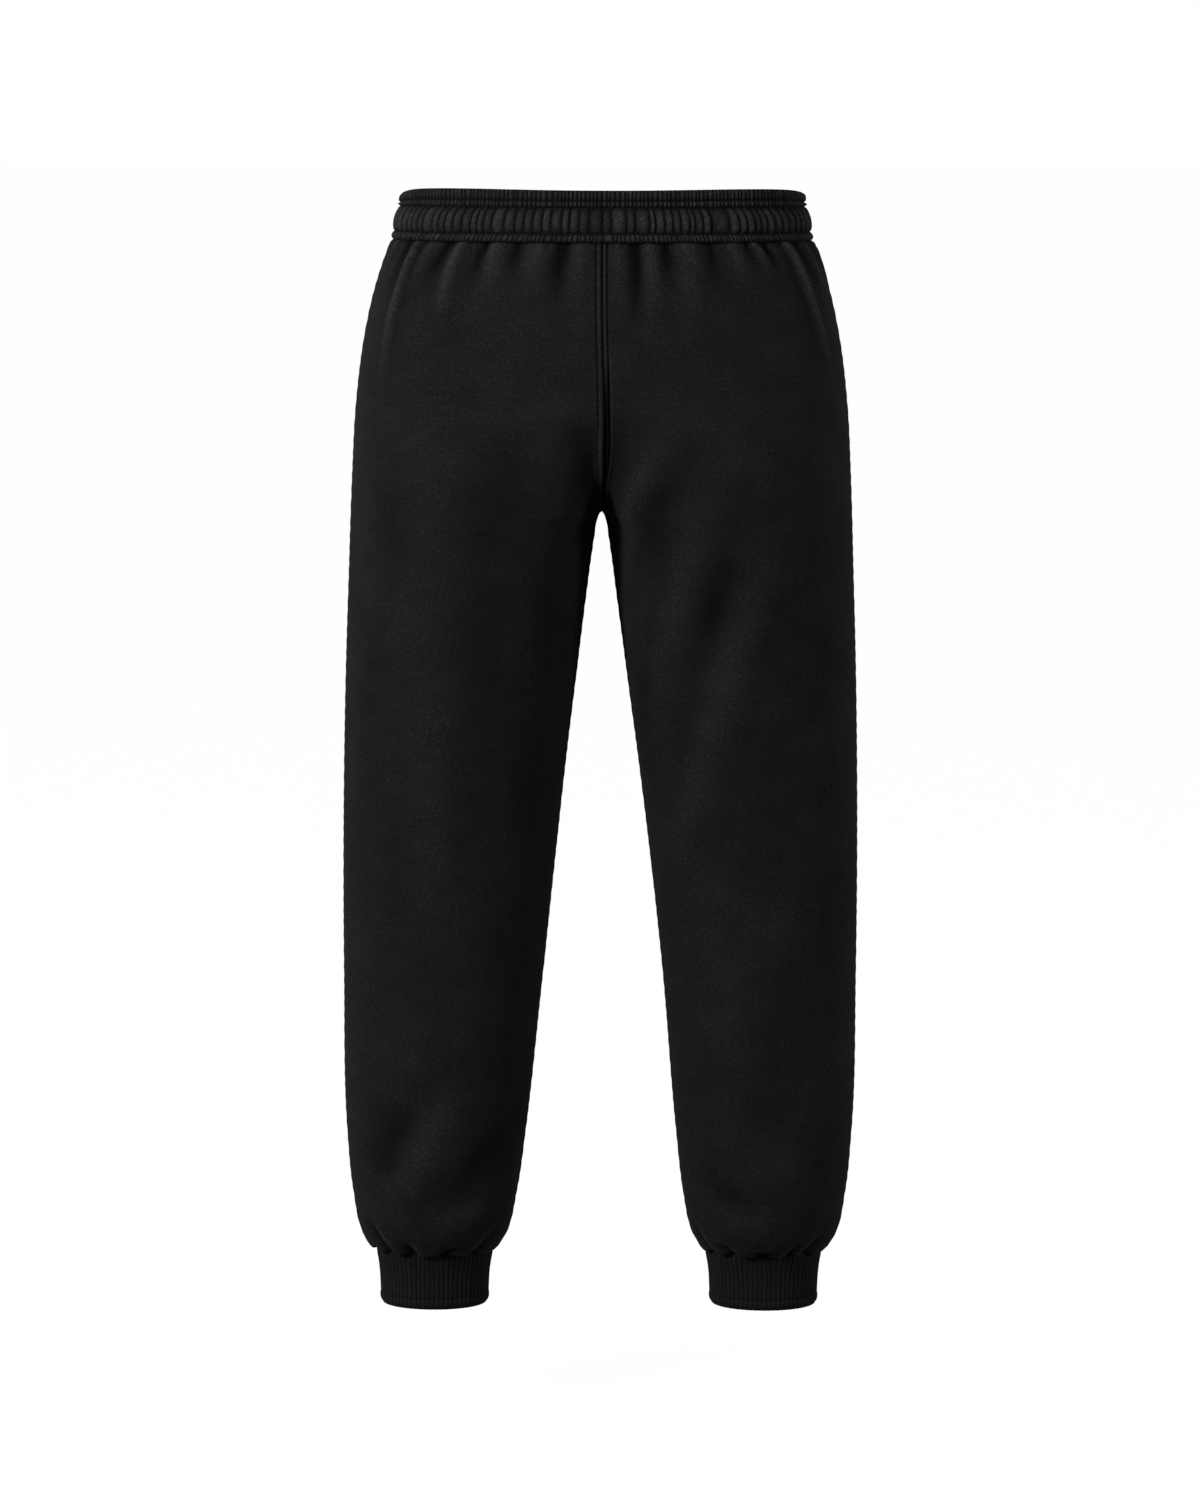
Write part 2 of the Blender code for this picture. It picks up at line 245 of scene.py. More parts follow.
COARSER = 4  # the inside of a piece has one row and column for so many outside
PANEL_COLUMNS = 42 * COARSER + 1
PANEL_ROWS = 95 * COARSER + 1
PANEL_ACROSS = spaced(
    PANEL_COLUMNS, 0, 1, lambda s: 1 + 9 * np.exp(-s / 0.020) + 5 * np.exp(-(1 - s) / 0.016)
)
PANEL_Z = spaced(
    PANEL_ROWS,
    WAIST_SEAM_Z,
    CUFF_SEAM_Z,
    lambda z: 1
    + 2.2 * np.exp((z - WAIST_SEAM_Z) / 0.035)
    + 3.5 * np.exp((CUFF_SEAM_Z - z) / 0.022)
    + 1.6 * np.exp(-(((z - CROTCH_Z) / 0.018) ** 2)),
)
print("panel grid:", PANEL_ROWS, "rows of", PANEL_COLUMNS, "points")

# %% [markdown]
# ## Gathers, folds and creases
#
# Three kinds of relief lie on a panel. Gathers fan down from the waist seam, where a wide panel is
# eased onto a shorter band. Broad folds run down the seat and thighs where the cloth hangs from
# the hips. Creases rise from the cuff seam, where the leg bags over the narrow rib. Each one is a
# line on the cloth with a width and a height, given one by one, because real folds are uneven and
# a formula that spreads them evenly looks like corrugated card.

# %% Tables of relief
# `top` and `low` are places across the panel, 0 at the centre seam and 1 at the side seam.
Gather = namedtuple("Gather", "top low z_low width height")
GATHERS = {
    "back_left": (
        Gather(0.045, 0.052, -0.110, 0.0085, 0.0015),
        Gather(0.090, 0.125, -0.092, 0.0070, -0.0030),
        Gather(0.162, 0.186, -0.075, 0.0080, 0.0014),
        Gather(0.225, 0.242, -0.066, 0.0060, -0.0024),
        Gather(0.292, 0.330, -0.080, 0.0080, 0.0018),
        Gather(0.330, 0.385, -0.072, 0.0065, -0.0026),
        Gather(0.420, 0.510, -0.105, 0.0062, 0.0030),
        Gather(0.478, 0.590, -0.080, 0.0080, -0.0028),
        Gather(0.560, 0.660, -0.074, 0.0070, 0.0012),
        Gather(0.635, 0.790, -0.170, 0.0062, 0.0036),
        Gather(0.705, 0.790, -0.086, 0.0075, -0.0028),
        Gather(0.800, 0.900, -0.062, 0.0070, 0.0022),
        Gather(0.880, 0.950, -0.058, 0.0065, -0.0018),
    ),
    "back_right": (
        Gather(0.030, 0.036, -0.110, 0.0060, 0.0014),
        Gather(0.078, 0.088, -0.118, 0.0062, -0.0032),
        Gather(0.115, 0.135, -0.110, 0.0075, 0.0013),
        Gather(0.160, 0.164, -0.068, 0.0055, -0.0024),
        Gather(0.225, 0.262, -0.130, 0.0120, 0.0018),
        Gather(0.300, 0.324, -0.070, 0.0065, -0.0022),
        Gather(0.385, 0.430, -0.078, 0.0085, 0.0015),
        Gather(0.440, 0.470, -0.052, 0.0050, -0.0014),
        Gather(0.470, 0.575, -0.060, 0.0055, 0.0022),
        Gather(0.510, 0.590, -0.080, 0.0080, -0.0026),
        Gather(0.625, 0.850, -0.170, 0.0060, 0.0038),
        Gather(0.700, 0.810, -0.082, 0.0070, -0.0026),
        Gather(0.775, 0.850, -0.070, 0.0060, 0.0014),
        Gather(0.860, 0.985, -0.075, 0.0070, 0.0024),
    ),
    "front_left": (
        Gather(0.060, 0.070, -0.090, 0.0075, 0.0015),
        Gather(0.120, 0.140, -0.100, 0.0070, -0.0026),
        Gather(0.185, 0.210, -0.075, 0.0080, 0.0016),
        Gather(0.260, 0.290, -0.070, 0.0065, -0.0024),
        Gather(0.350, 0.400, -0.105, 0.0090, 0.0024),
        Gather(0.430, 0.480, -0.078, 0.0070, -0.0026),
        Gather(0.520, 0.610, -0.088, 0.0080, 0.0022),
        Gather(0.610, 0.690, -0.080, 0.0075, -0.0026),
        Gather(0.715, 0.810, -0.120, 0.0075, 0.0030),
        Gather(0.810, 0.880, -0.072, 0.0070, -0.0022),
        Gather(0.890, 0.950, -0.060, 0.0060, 0.0014),
    ),
    "front_right": (
        Gather(0.045, 0.050, -0.085, 0.0070, 0.0014),
        Gather(0.100, 0.112, -0.084, 0.0065, -0.0026),
        Gather(0.170, 0.200, -0.112, 0.0095, 0.0020),
        Gather(0.240, 0.262, -0.068, 0.0062, -0.0022),
        Gather(0.320, 0.352, -0.080, 0.0080, 0.0016),
        Gather(0.395, 0.450, -0.092, 0.0072, -0.0028),
        Gather(0.480, 0.545, -0.072, 0.0070, 0.0018),
        Gather(0.565, 0.670, -0.128, 0.0072, 0.0030),
        Gather(0.650, 0.730, -0.082, 0.0076, -0.0026),
        Gather(0.760, 0.835, -0.070, 0.0068, 0.0016),
        Gather(0.840, 0.915, -0.084, 0.0070, -0.0024),
    ),
}
Fold = namedtuple("Fold", "top z_top low z_low width height")
FOLDS = {
    "back_left": (
        Fold(0.560, -0.150, 0.615, -0.360, 0.024, 0.0040),
        Fold(0.620, -0.330, 0.540, -0.620, 0.026, 0.0040),
        Fold(0.400, -0.175, 0.400, -0.310, 0.030, -0.0050),
        Fold(0.430, -0.310, 0.360, -0.620, 0.034, -0.0036),
        Fold(0.130, -0.165, 0.100, -0.300, 0.036, -0.0120),
        Fold(0.800, -0.480, 0.700, -0.660, 0.030, -0.0018),
        Fold(0.400, -0.780, 0.640, -0.890, 0.015, 0.0056),
        Fold(0.590, -0.800, 0.720, -0.880, 0.017, -0.0058),
        Fold(0.180, -0.830, 0.500, -0.905, 0.018, -0.0066),
        Fold(0.240, -0.895, 0.520, -0.921, 0.011, 0.0026),
        Fold(0.840, -0.800, 0.930, -0.880, 0.018, 0.0020),
    ),
    "back_right": (
        Fold(0.090, -0.165, 0.080, -0.300, 0.030, -0.0100),
        Fold(0.290, -0.190, 0.165, -0.290, 0.011, 0.0030),
        Fold(0.370, -0.215, 0.235, -0.300, 0.012, -0.0040),
        Fold(0.470, -0.225, 0.215, -0.440, 0.014, 0.0044),
        Fold(0.500, -0.290, 0.360, -0.410, 0.016, -0.0042),
        Fold(0.580, -0.315, 0.250, -0.570, 0.016, 0.0050),
        Fold(0.660, -0.450, 0.470, -0.620, 0.024, -0.0036),
        Fold(0.300, -0.530, 0.400, -0.830, 0.026, 0.0026),
        Fold(0.150, -0.380, 0.120, -0.520, 0.015, -0.0026),
        Fold(0.620, -0.690, 0.440, -0.850, 0.022, -0.0036),
        Fold(0.830, -0.700, 0.740, -0.860, 0.024, 0.0022),
        Fold(0.240, -0.872, 0.440, -0.900, 0.010, -0.0030),
        Fold(0.330, -0.924, 0.560, -0.912, 0.012, 0.0030),
    ),
    "front_left": (
        Fold(0.480, -0.190, 0.250, -0.400, 0.016, 0.0040),
        Fold(0.600, -0.260, 0.340, -0.520, 0.018, 0.0044),
        Fold(0.520, -0.260, 0.330, -0.400, 0.016, -0.0036),
        Fold(0.200, -0.210, 0.130, -0.310, 0.016, -0.0028),
        Fold(0.660, -0.480, 0.500, -0.640, 0.022, -0.0030),
        Fold(0.350, -0.600, 0.450, -0.820, 0.024, 0.0026),
        Fold(0.620, -0.760, 0.420, -0.870, 0.018, -0.0034),
        Fold(0.300, -0.850, 0.560, -0.900, 0.014, 0.0032),
        Fold(0.780, -0.820, 0.640, -0.900, 0.016, 0.0022),
    ),
    "front_right": (
        Fold(0.520, -0.160, 0.570, -0.350, 0.022, 0.0034),
        Fold(0.420, -0.230, 0.200, -0.430, 0.015, 0.0040),
        Fold(0.500, -0.300, 0.300, -0.440, 0.016, -0.0036),
        Fold(0.580, -0.370, 0.480, -0.640, 0.024, 0.0034),
        Fold(0.180, -0.205, 0.110, -0.320, 0.018, -0.0030),
        Fold(0.360, -0.480, 0.300, -0.700, 0.026, -0.0028),
        Fold(0.430, -0.760, 0.660, -0.880, 0.016, 0.0034),
        Fold(0.300, -0.800, 0.520, -0.890, 0.016, -0.0036),
        Fold(0.740, -0.780, 0.840, -0.880, 0.018, -0.0020),
    ),
}
# A crease rises from the cuff seam. `wall` is 1 where the bag that overhangs it is on the side
# seam's side, -1 where it is on the inseam's side, and 0 for a pinch with a bag on both sides.
Crease = namedtuple("Crease", "low top z_top wall hollow depth")
CREASES = {
    "back_left": (
        Crease(0.306, 0.175, -0.920, 1, 0.0095, 0.0046),
        Crease(0.448, 0.404, -0.9385, 0, 0.0048, 0.0042),
        Crease(0.584, 0.625, -0.9300, -1, 0.0075, 0.0042),
        Crease(0.716, 0.815, -0.9120, -1, 0.0095, 0.0048),
        Crease(0.900, 0.950, -0.932, 1, 0.0070, 0.0024),
    ),
    "back_right": (
        Crease(0.220, 0.112, -0.916, 1, 0.0095, 0.0048),
        Crease(0.351, 0.290, -0.934, 1, 0.0075, 0.0042),
        Crease(0.487, 0.487, -0.9410, 0, 0.0048, 0.0042),
        Crease(0.600, 0.684, -0.9310, -1, 0.0070, 0.0040),
        Crease(0.692, 0.785, -0.9240, -1, 0.0080, 0.0044),
        Crease(0.890, 0.940, -0.930, -1, 0.0070, 0.0026),
    ),
    "front_left": (
        Crease(0.150, 0.100, -0.930, 1, 0.0080, 0.0040),
        Crease(0.285, 0.200, -0.921, 1, 0.0100, 0.0052),
        Crease(0.430, 0.400, -0.938, 0, 0.0055, 0.0048),
        Crease(0.560, 0.610, -0.928, -1, 0.0090, 0.0048),
        Crease(0.720, 0.800, -0.918, -1, 0.0110, 0.0052),
        Crease(0.870, 0.920, -0.934, 1, 0.0075, 0.0036),
    ),
    "front_right": (
        Crease(0.190, 0.110, -0.924, -1, 0.0100, 0.0050),
        Crease(0.330, 0.280, -0.933, 1, 0.0085, 0.0048),
        Crease(0.465, 0.480, -0.940, 0, 0.0055, 0.0050),
        Crease(0.610, 0.680, -0.922, 1, 0.0110, 0.0052),
        Crease(0.760, 0.820, -0.932, -1, 0.0080, 0.0044),
        Crease(0.890, 0.930, -0.936, 1, 0.0070, 0.0034),
    ),
}
for panel in GATHERS:
    print(panel, len(GATHERS[panel]), "gathers,", len(FOLDS[panel]), "folds,",
          len(CREASES[panel]), "creases")


# %% Relief on a panel
RIDGE_STRENGTH = 1.6
HOLLOW_STRENGTH = 1.0
FOLD_STRENGTH = 0.60
FOLD_SPREAD = 1.35
CREASE_WALL = 0.0016  # how quickly cloth drops over the edge of a bag
BAG_EDGE_LIFT = 0.0009


def gather_relief(panel, across, z, girth):
    relief = np.zeros_like(across)
    for row in GATHERS[panel]:
        t = np.clip((WAIST_SEAM_Z - z) / (WAIST_SEAM_Z - row.z_low), 0, 1)
        line = row.top + (row.low - row.top) * t**0.85
        width = row.width * (0.55 + 0.85 * t)
        fade = (1 - t) ** 2 * (1 + 2 * t)
        strength = RIDGE_STRENGTH if row.height > 0 else HOLLOW_STRENGTH
        relief += strength * row.height * fade * bump((across - line) * girth, width)
    return relief


def fold_relief(panel, across, z, girth):
    relief = np.zeros_like(across)
    for row in FOLDS[panel]:
        run_x, run_z = (row.low - row.top) * girth, row.z_low - row.z_top
        x, down = (across - row.top) * girth, z - row.z_top
        along = np.clip((x * run_x + down * run_z) / (run_x**2 + run_z**2), 0, 1)
        off = np.hypot(x - run_x * along, down - run_z * along)
        taper = np.sin(math.pi * (0.06 + 0.88 * along)) ** 0.8
        relief += FOLD_STRENGTH * row.height * taper * bump(off, FOLD_SPREAD * row.width)
    return relief


def crease_relief(panel, across, z, girth):
    """The creases' relief, how far the seam is drawn up into them, and the edges of the bags."""
    relief, drawn_up, bag_edges = (np.zeros_like(across) for _ in range(3))
    for row in CREASES[panel]:
        t = np.clip((z - CUFF_SEAM_Z) / (row.z_top - CUFF_SEAM_Z), 0, 1)
        off = (across - row.low - (row.top - row.low) * t) * girth
        fade = (1 - t) ** 1.5 * (1 + 1.5 * t)
        steep = CREASE_WALL * (1 + 1.5 * t)
        if row.wall == 0:
            relief -= row.depth * fade * bump(off, row.hollow * (0.45 + 0.8 * t))
        else:
            wide = row.hollow * (1 + 0.4 * t)
            relief -= row.depth * fade * bump(off, np.where(off * row.wall > 0, steep, wide))
            lift = bump(off * row.wall - 2.3 * steep, 2.2 * CREASE_WALL)
            bag_edges = np.maximum(bag_edges, fade * lift)
        drawn_up = np.maximum(drawn_up, bump(off + row.wall * 0.004, 0.0075) * (t < 1))
    return relief + BAG_EDGE_LIFT * bag_edges, drawn_up, bag_edges


def soft_dents(across_m, z, seed):
    """Slow, shallow unevenness, as in any cloth that has been worn and washed."""
    random = np.random.default_rng(seed)
    dents = np.zeros_like(across_m)
    for length in (0.190, 0.130, 0.095, 0.070, 0.052, 0.038, 0.029):
        angle, phase = random.uniform(0, math.pi), random.uniform(0, 2 * math.pi)
        place = across_m * math.cos(angle) + z * math.sin(angle)
        bend = 0.6 * np.sin(2 * math.pi * (across_m - z) / (2.7 * length) + 2 * phase)
        dents += length * np.sin(2 * math.pi * place / length + phase + bend)
    return 0.0022 * dents


def top_puckers(distance, z, seed):
    """Small puckers that the waist seam's stitches draw up."""
    random = np.random.default_rng(seed)
    phase = random.uniform(0, 2 * math.pi, 3)
    drift = 1.4 * np.sin(2 * math.pi * distance / 0.047 + phase[1])
    wave = np.sin(2 * math.pi * distance / 0.0088 + drift + phase[0])
    strength = 0.6 + 0.4 * np.sin(2 * math.pi * distance / 0.071 + phase[2])
    return 0.00060 * wave * strength * np.exp((z - WAIST_SEAM_Z) / 0.0090)


print("relief helpers ready")

# %% [markdown]
# ## Seams
#
# The centre seams are sewn and then stitched down on both sides, so they show a narrow valley
# between two flat ridges, each ending in a line of stitches. Low on the seat the right back panel
# also hangs clear of its seam, with a sharp edge. The side seams and inseams are only sewn, a
# single soft valley that puckers slightly. All are short profiles across the seam, so a panel
# needs crowded columns beside its seams and few elsewhere.

# %% Seam profiles
STITCH_LINES = {-1: 0.0054, 1: 0.0043}  # from a centre seam to the stitches left and right of it
ROLLED_OVER = 0.0052  # the width that the right back panel hangs clear of the seat seam


def centre_seam(distance, z, stitch_line):
    valley = -0.0020 * bump(distance, 0.0009)
    ridge = 0.0007 * bump(distance - stitch_line / 2, stitch_line / 3.2)
    stitched = -0.0011 * bump(distance - stitch_line, 0.0008)
    pucker = 0.00018 * np.sin(2 * math.pi * z / 0.0062) * bump(distance - stitch_line, 0.003)
    return valley + ridge + stitched + pucker


def seat_hollow(distance, z):
    """Low on the seat, the right back panel stands away from the seam with a sharp edge."""
    low = smoothstep(-0.115, -0.165, z)
    return -0.0030 * low * (1 - smoothstep(ROLLED_OVER - 0.001, ROLLED_OVER + 0.001, distance))


def plain_seam(distance, z, seed):
    phase = np.random.default_rng(seed).uniform(0, 2 * math.pi)
    valley = -0.0011 * bump(distance, 0.0009)
    swell = 0.00045 * bump(distance - 0.0032, 0.0024)
    drift = 1.5 * np.sin(2 * math.pi * z / 0.083 + phase)
    pucker = 0.00022 * np.sin(2 * math.pi * z / 0.0125 + drift) * bump(distance, 0.007)
    return valley + swell + pucker


def inseam_shift(across, z):
    """The inseams hang a little to the wearer's right below the knees."""
    return 0.0028 * bump(z + 0.66, 0.21) * (1 - across) ** 1.5


def seat_seam_shift(points):
    """Moves cloth near the centre back sideways with the seam."""
    x, y, z = points[..., 0], points[..., 1], points[..., 2]
    fade = bump(z + 0.172, 0.065)
    behind = smoothstep(0.0, -0.04, y)
    shifted = points.copy()
    shifted[..., 0] = x + SEAM_OFFSET * bump(x, 0.05) * fade * behind
    return shifted


print("stitches", [round(line * 1000, 1) for line in STITCH_LINES.values()], "mm from the seams")

# %% [markdown]
# ## From a grid to a piece of cloth
#
# Cloth has two faces, and its cut edge can be seen at a hem, so each piece is a closed shell. The
# outside carries the detail. The inside only has to be there, so it keeps one row and column in
# four, and the border between the two is filled with fans of triangles. That halves the count
# compared with a Solidify modifier. The coordinates of the cloth go into a UV map in metres, so
# that the nap can follow the cloth round the leg.


# %% Shell of cloth
PLAIN_SHADE_LEVEL = 0.4  # `raised` where the colour gets neither painted highlight nor painted shade, as on its inside


def zip_border(fine, coarse):
    """Faces between a fine border and one with a point for every COARSER of its points."""
    faces = []
    for index in range(len(coarse) - 1):
        start = index * COARSER
        middle = start + COARSER // 2
        here, following = coarse[index], coarse[index + 1]
        faces += [(fine[k], fine[k + 1], here) for k in range(start, middle)]
        faces += [(fine[k], fine[k + 1], following) for k in range(middle, start + COARSER)]
        faces.append((fine[middle], following, here))
    return faces


def grid_faces(index):
    """Quads of a grid of vertex numbers."""
    corners = (index[:-1, :-1], index[:-1, 1:], index[1:, 1:], index[1:, :-1])
    return np.stack(corners, axis=-1).reshape(-1, 4).tolist()


def cloth_uv(mesh, places, girth=None):
    """Writes each vertex's place on the flat cloth, in metres. On a loop of cloth the last column
    of faces runs on past the join."""
    layer = mesh.uv_layers.new(name="cloth")
    vertex = np.empty(len(mesh.loops), dtype=np.int32)
    mesh.loops.foreach_get("vertex_index", vertex)
    uv = places[vertex]
    if girth is not None:
        start = np.empty(len(mesh.polygons), dtype=np.int32)
        mesh.polygons.foreach_get("loop_start", start)
        total = np.empty(len(mesh.polygons), dtype=np.int32)
        mesh.polygons.foreach_get("loop_total", total)
        face = np.repeat(np.arange(len(start)), total)
        most = np.maximum.reduceat(uv[:, 0], start)[face]
        uv[:, 0] += np.where(most - uv[:, 0] > girth / 2, girth, 0)
    layer.data.foreach_set("uv", uv.astype(np.float32).ravel())


def cloth_object(name, points, faces, places, raised, girth=None):
    mesh = bpy.data.meshes.new(name)
    mesh.from_pydata(points.tolist(), [], faces)
    cloth_uv(mesh, places, girth)
    standing = mesh.attributes.new("raised", "FLOAT", "POINT")
    standing.data.foreach_set("value", np.clip(raised, 0, 1).astype(np.float32).ravel())
    mesh.shade_smooth()
    return add_object(name, mesh)


def panel_shell(name, outside, inside, places, raised, flip):
    """A closed piece from two grids, the inside being every COARSER-th point of the outside."""
    rows, columns = outside.shape[:2]
    inside = inside[::COARSER, ::COARSER]
    fine = np.arange(rows * columns).reshape(rows, columns)
    coarse = fine.size + np.arange(inside.shape[0] * inside.shape[1]).reshape(inside.shape[:2])
    faces = grid_faces(fine) + [face[::-1] for face in grid_faces(coarse)]
    borders = (
        (fine[0, ::-1], coarse[0, ::-1]),
        (fine[-1], coarse[-1]),
        (fine[:, 0], coarse[:, 0]),
        (fine[::-1, -1], coarse[::-1, -1]),
    )
    for fine_border, coarse_border in borders:
        faces += zip_border(fine_border.tolist(), coarse_border.tolist())
    if flip:
        faces = [face[::-1] for face in faces]
    points = np.concatenate([outside.reshape(-1, 3), inside.reshape(-1, 3)])
    inside_places = places[::COARSER, ::COARSER]
    all_places = np.concatenate([places.reshape(-1, 2), inside_places.reshape(-1, 2)])
    all_raised = np.concatenate([raised.ravel(), np.full(coarse.size, PLAIN_SHADE_LEVEL)])
    return cloth_object(name, points, faces, all_places, all_raised)


print("shell helpers ready")

# %% [markdown]
# ## Leg panels
#
# Each panel takes its form, adds its relief along the way out of the cloth, and is turned under at
# its seams. Relief dies away at the side seam and the centre seam, so that two panels meet there
# at the same height. The centre seams pass over each other by less than half a millimetre, since
# two edges that only meet let a line of light through. At the cuff the cloth bags, so its edge
# hangs lower between two creases than in them. Places on the cloth are measured from the panel's
# grain line, down its middle, so that the nap isn't pulled askew by the seams.

# %% Relief and painted shade of a whole panel
FLEECE_THICKNESS = 0.0020
BAG_HANG = 0.0026
BAG_DRAW = 0.0044
HALF_GAP = 0.00015
SEAM_OVERLAP = 0.0004  # the centre seams close over each other, so no light comes through
BAG_SWELL, BAG_Z, BAG_SPREAD = 0.0013, -0.938, 0.012
TOP_TURNED_UNDER, LOW_TURNED_UNDER = 0.0016, 0.0014
FINE_RELIEF, BROAD_RELIEF, SEAM_RELIEF = 0.0054, 0.028, 0.0065  # relief that makes the full step from painted shade to painted highlight
# How strongly the edges of the bags at the cuff get a painted highlight.
BAG_EDGE_HIGHLIGHT = 0.55
PANELS = (
    # name, side, facing, seed
    ("back_left", -1, -1, 11),
    ("back_right", 1, -1, 23),
    ("front_left", -1, 1, 37),
    ("front_right", 1, 1, 41),
)
panels, panel_grids = {}, {}


def panel_relief(panel, side, grid, seed):
    z = np.broadcast_to(PANEL_Z[:, None], grid.shape[:2])
    across = np.broadcast_to(PANEL_ACROSS[None, :], grid.shape[:2])
    from_centre = arc_across(grid)
    from_side = from_centre[:, -1:] - from_centre
    girth = nominal_girth(grid)
    creases, drawn_up, bag_edges = crease_relief(panel, across, z, girth)
    away = smoothstep(0.001, 0.012, from_side) * smoothstep(0.001, 0.010, from_centre)
    relief = gather_relief(panel, across, z, girth) * away
    relief += fold_relief(panel, across, z, girth) * away
    relief += creases * smoothstep(0.0, 0.006, np.minimum(from_side, from_centre))
    relief += soft_dents(from_side, z, seed) * smoothstep(0, 0.03, from_side) * away
    relief += top_puckers(from_centre, z, seed) * away
    on_body = smoothstep(CROTCH_Z - 0.004, CROTCH_Z + 0.006, z)
    seams = centre_seam(from_centre, z, STITCH_LINES[side]) * on_body
    if panel == "back_right":
        seams += seat_hollow(from_centre, z) * on_body
    seams += plain_seam(from_centre, z, 5) * (1 - on_body) + plain_seam(from_side, z, 7)
    relief += seams
    relief += BAG_SWELL * bump(z - BAG_Z, BAG_SPREAD)
    relief -= TOP_TURNED_UNDER * np.exp((z - WAIST_SEAM_Z) / 0.0011)
    relief -= LOW_TURNED_UNDER * np.exp((CUFF_SEAM_Z - z) / 0.0010)
    # `raised` is painted light: crests, seam ridges and bag edges get painted highlight; hollows,
    # creases and seam valleys get painted shade.
    raised = PLAIN_SHADE_LEVEL + (relief - blurred(relief, 40)) / FINE_RELIEF
    raised += (relief - blurred(relief, 400)) / BROAD_RELIEF
    raised += seams / SEAM_RELIEF + BAG_EDGE_HIGHLIGHT * bag_edges
    return relief, raised, drawn_up, from_centre


print("panels to make:", [row[0] for row in PANELS])


# %% Make the leg panels
def make_panel(panel, side, facing, seed):
    grid = panel_form(facing, PANEL_ACROSS, PANEL_Z)
    normal = outward(grid, facing)
    on_body = PANEL_Z > CROTCH_Z
    normal[:, -1, 1] = 0
    normal[on_body, 0, 0] = 0
    normal[~on_body, 0, 1] = 0
    from_edge = np.minimum(WAIST_SEAM_Z - PANEL_Z, PANEL_Z - CUFF_SEAM_Z)
    normal[..., 2] *= smoothstep(0, 0.012, from_edge)[:, None]
    normal /= np.linalg.norm(normal, axis=-1, keepdims=True)
    relief, raised, drawn_up, from_centre = panel_relief(panel, side, grid, seed)
    outside = grid + normal * relief[..., None]
    near_cuff = np.exp((CUFF_SEAM_Z - PANEL_Z) / 0.0070)[:, None]
    outside[..., 2] += (BAG_DRAW * drawn_up - BAG_HANG) * near_cuff
    outside += np.array([HALF_GAP, facing * HALF_GAP, 0])
    at_centre = on_body[:, None] * bump(from_centre, 0.0008)
    outside[..., 0] -= (SEAM_OVERLAP + HALF_GAP) * at_centre
    inside = outside - normal * FLEECE_THICKNESS
    for skin in (outside, inside):
        skin[..., 0] = skin[..., 0] * side + inseam_shift(PANEL_ACROSS[None, :], PANEL_Z[:, None])
    outside, inside = seat_seam_shift(outside), seat_seam_shift(inside)
    grain_line = int(np.argmin(np.abs(PANEL_ACROSS - 0.5)))
    places = np.stack(
        [side * (from_centre - from_centre[:, grain_line, None]),
         np.broadcast_to(PANEL_Z[:, None], from_centre.shape)],
        axis=-1,
    )
    flip = side * facing < 0
    piece = panel_shell(f"fleece_{panel}", outside, inside, places, raised, not flip)
    return piece, outside, from_centre


for panel, side, facing, seed in PANELS:
    piece, outside, from_centre = make_panel(panel, side, facing, seed)
    panels[panel] = piece
    panel_grids[panel] = (outside, from_centre)
    print(piece.name, len(piece.data.polygons), "faces")

# %% [markdown]
# ## Waistband
#
# A wide loop of fleece is folded over elastic and stitched through in three rows. The elastic
# draws it up, so the channel over it stands in plump gathers with tight creases between, and the
# narrow rows above and below it in small beads. No two gathers are alike, so their edges are drawn
# from a seeded random walk, with the few beside the centre back join given one by one. Only the
# tops of the gathers get a painted highlight and their flanks painted shade, and the inside runs on
# below the waist seam to close it.

# %% Waistband form
WAIST_HALF_WIDTH = 0.1845
WAIST_BACK = 0.0960
WAIST_FRONT = 0.0920
BAND_COLUMNS = 1900
BAND_SEAM_Z = WAIST_SEAM_Z + 0.0003
# The band's three rows of stitches and its two edges, and how far out the cloth is at each.
Line = namedtuple("Line", "z out")
HEADER_TOP = Line(BAND_TOP_Z + 0.0022, -0.0022)
HEADER_STITCHES = Line(0.0203, -0.0018)
CHANNEL_TOP_STITCHES = Line(0.0143, -0.0016)
CHANNEL_LOW_STITCHES = Line(-0.0090, 0.0040)
BAND_SEAM = Line(BAND_SEAM_Z, 0.0056)


def band_turns(count):
    """Quarter-turn parameters, spaced evenly round the waist from the centre back."""
    fine = np.linspace(0, 4, 16001)
    x, y = band_oval(fine, 0.0)
    steps = np.hypot(np.diff(x), np.diff(y))
    arc = running_length(steps)
    places = np.linspace(0, arc[-1], count, endpoint=False)
    return np.interp(places, arc, fine), places, arc[-1]


def band_oval(turn, out):
    """A point of the waist's oval: turn 0 is the centre back, 1 the right side, 2 the front."""
    quarter = np.minimum(np.floor(turn), 3)
    share = turn - quarter
    across = np.where(quarter % 2 == 0, share, 1 - share)
    side = np.where(turn < 2, 1, -1)
    facing = np.where((turn < 1) | (turn > 3), -1, 1)
    depth = np.where(facing < 0, WAIST_BACK, WAIST_FRONT)
    x, y = oval_point(across, WAIST_HALF_WIDTH + out, depth + out)
    return side * x, facing * y


BAND_TURNS, BAND_PLACES, BAND_GIRTH = band_turns(BAND_COLUMNS)
print("waistband is", round(BAND_GIRTH, 3), "m round")


# %% Uneven gathers
def uneven_edges(girth, pitch, spread, seed, first=()):
    """Places of the creases between gathers, from 0 to the girth. `first` are given one by one, and
    negative ones lie before the join."""
    random = np.random.default_rng(seed)
    before = sorted(place + girth for place in first if place < 0)
    after = sorted(place for place in first if place > 0)
    edges = [0.0] + after
    end = before[0] if before else girth
    room = end - edges[-1]
    widths = pitch * random.lognormal(0, spread, int(round(room / pitch)))
    widths *= room / widths.sum()
    edges += list(edges[-1] + np.cumsum(widths)[:-1])
    return np.array(edges + before + [girth])


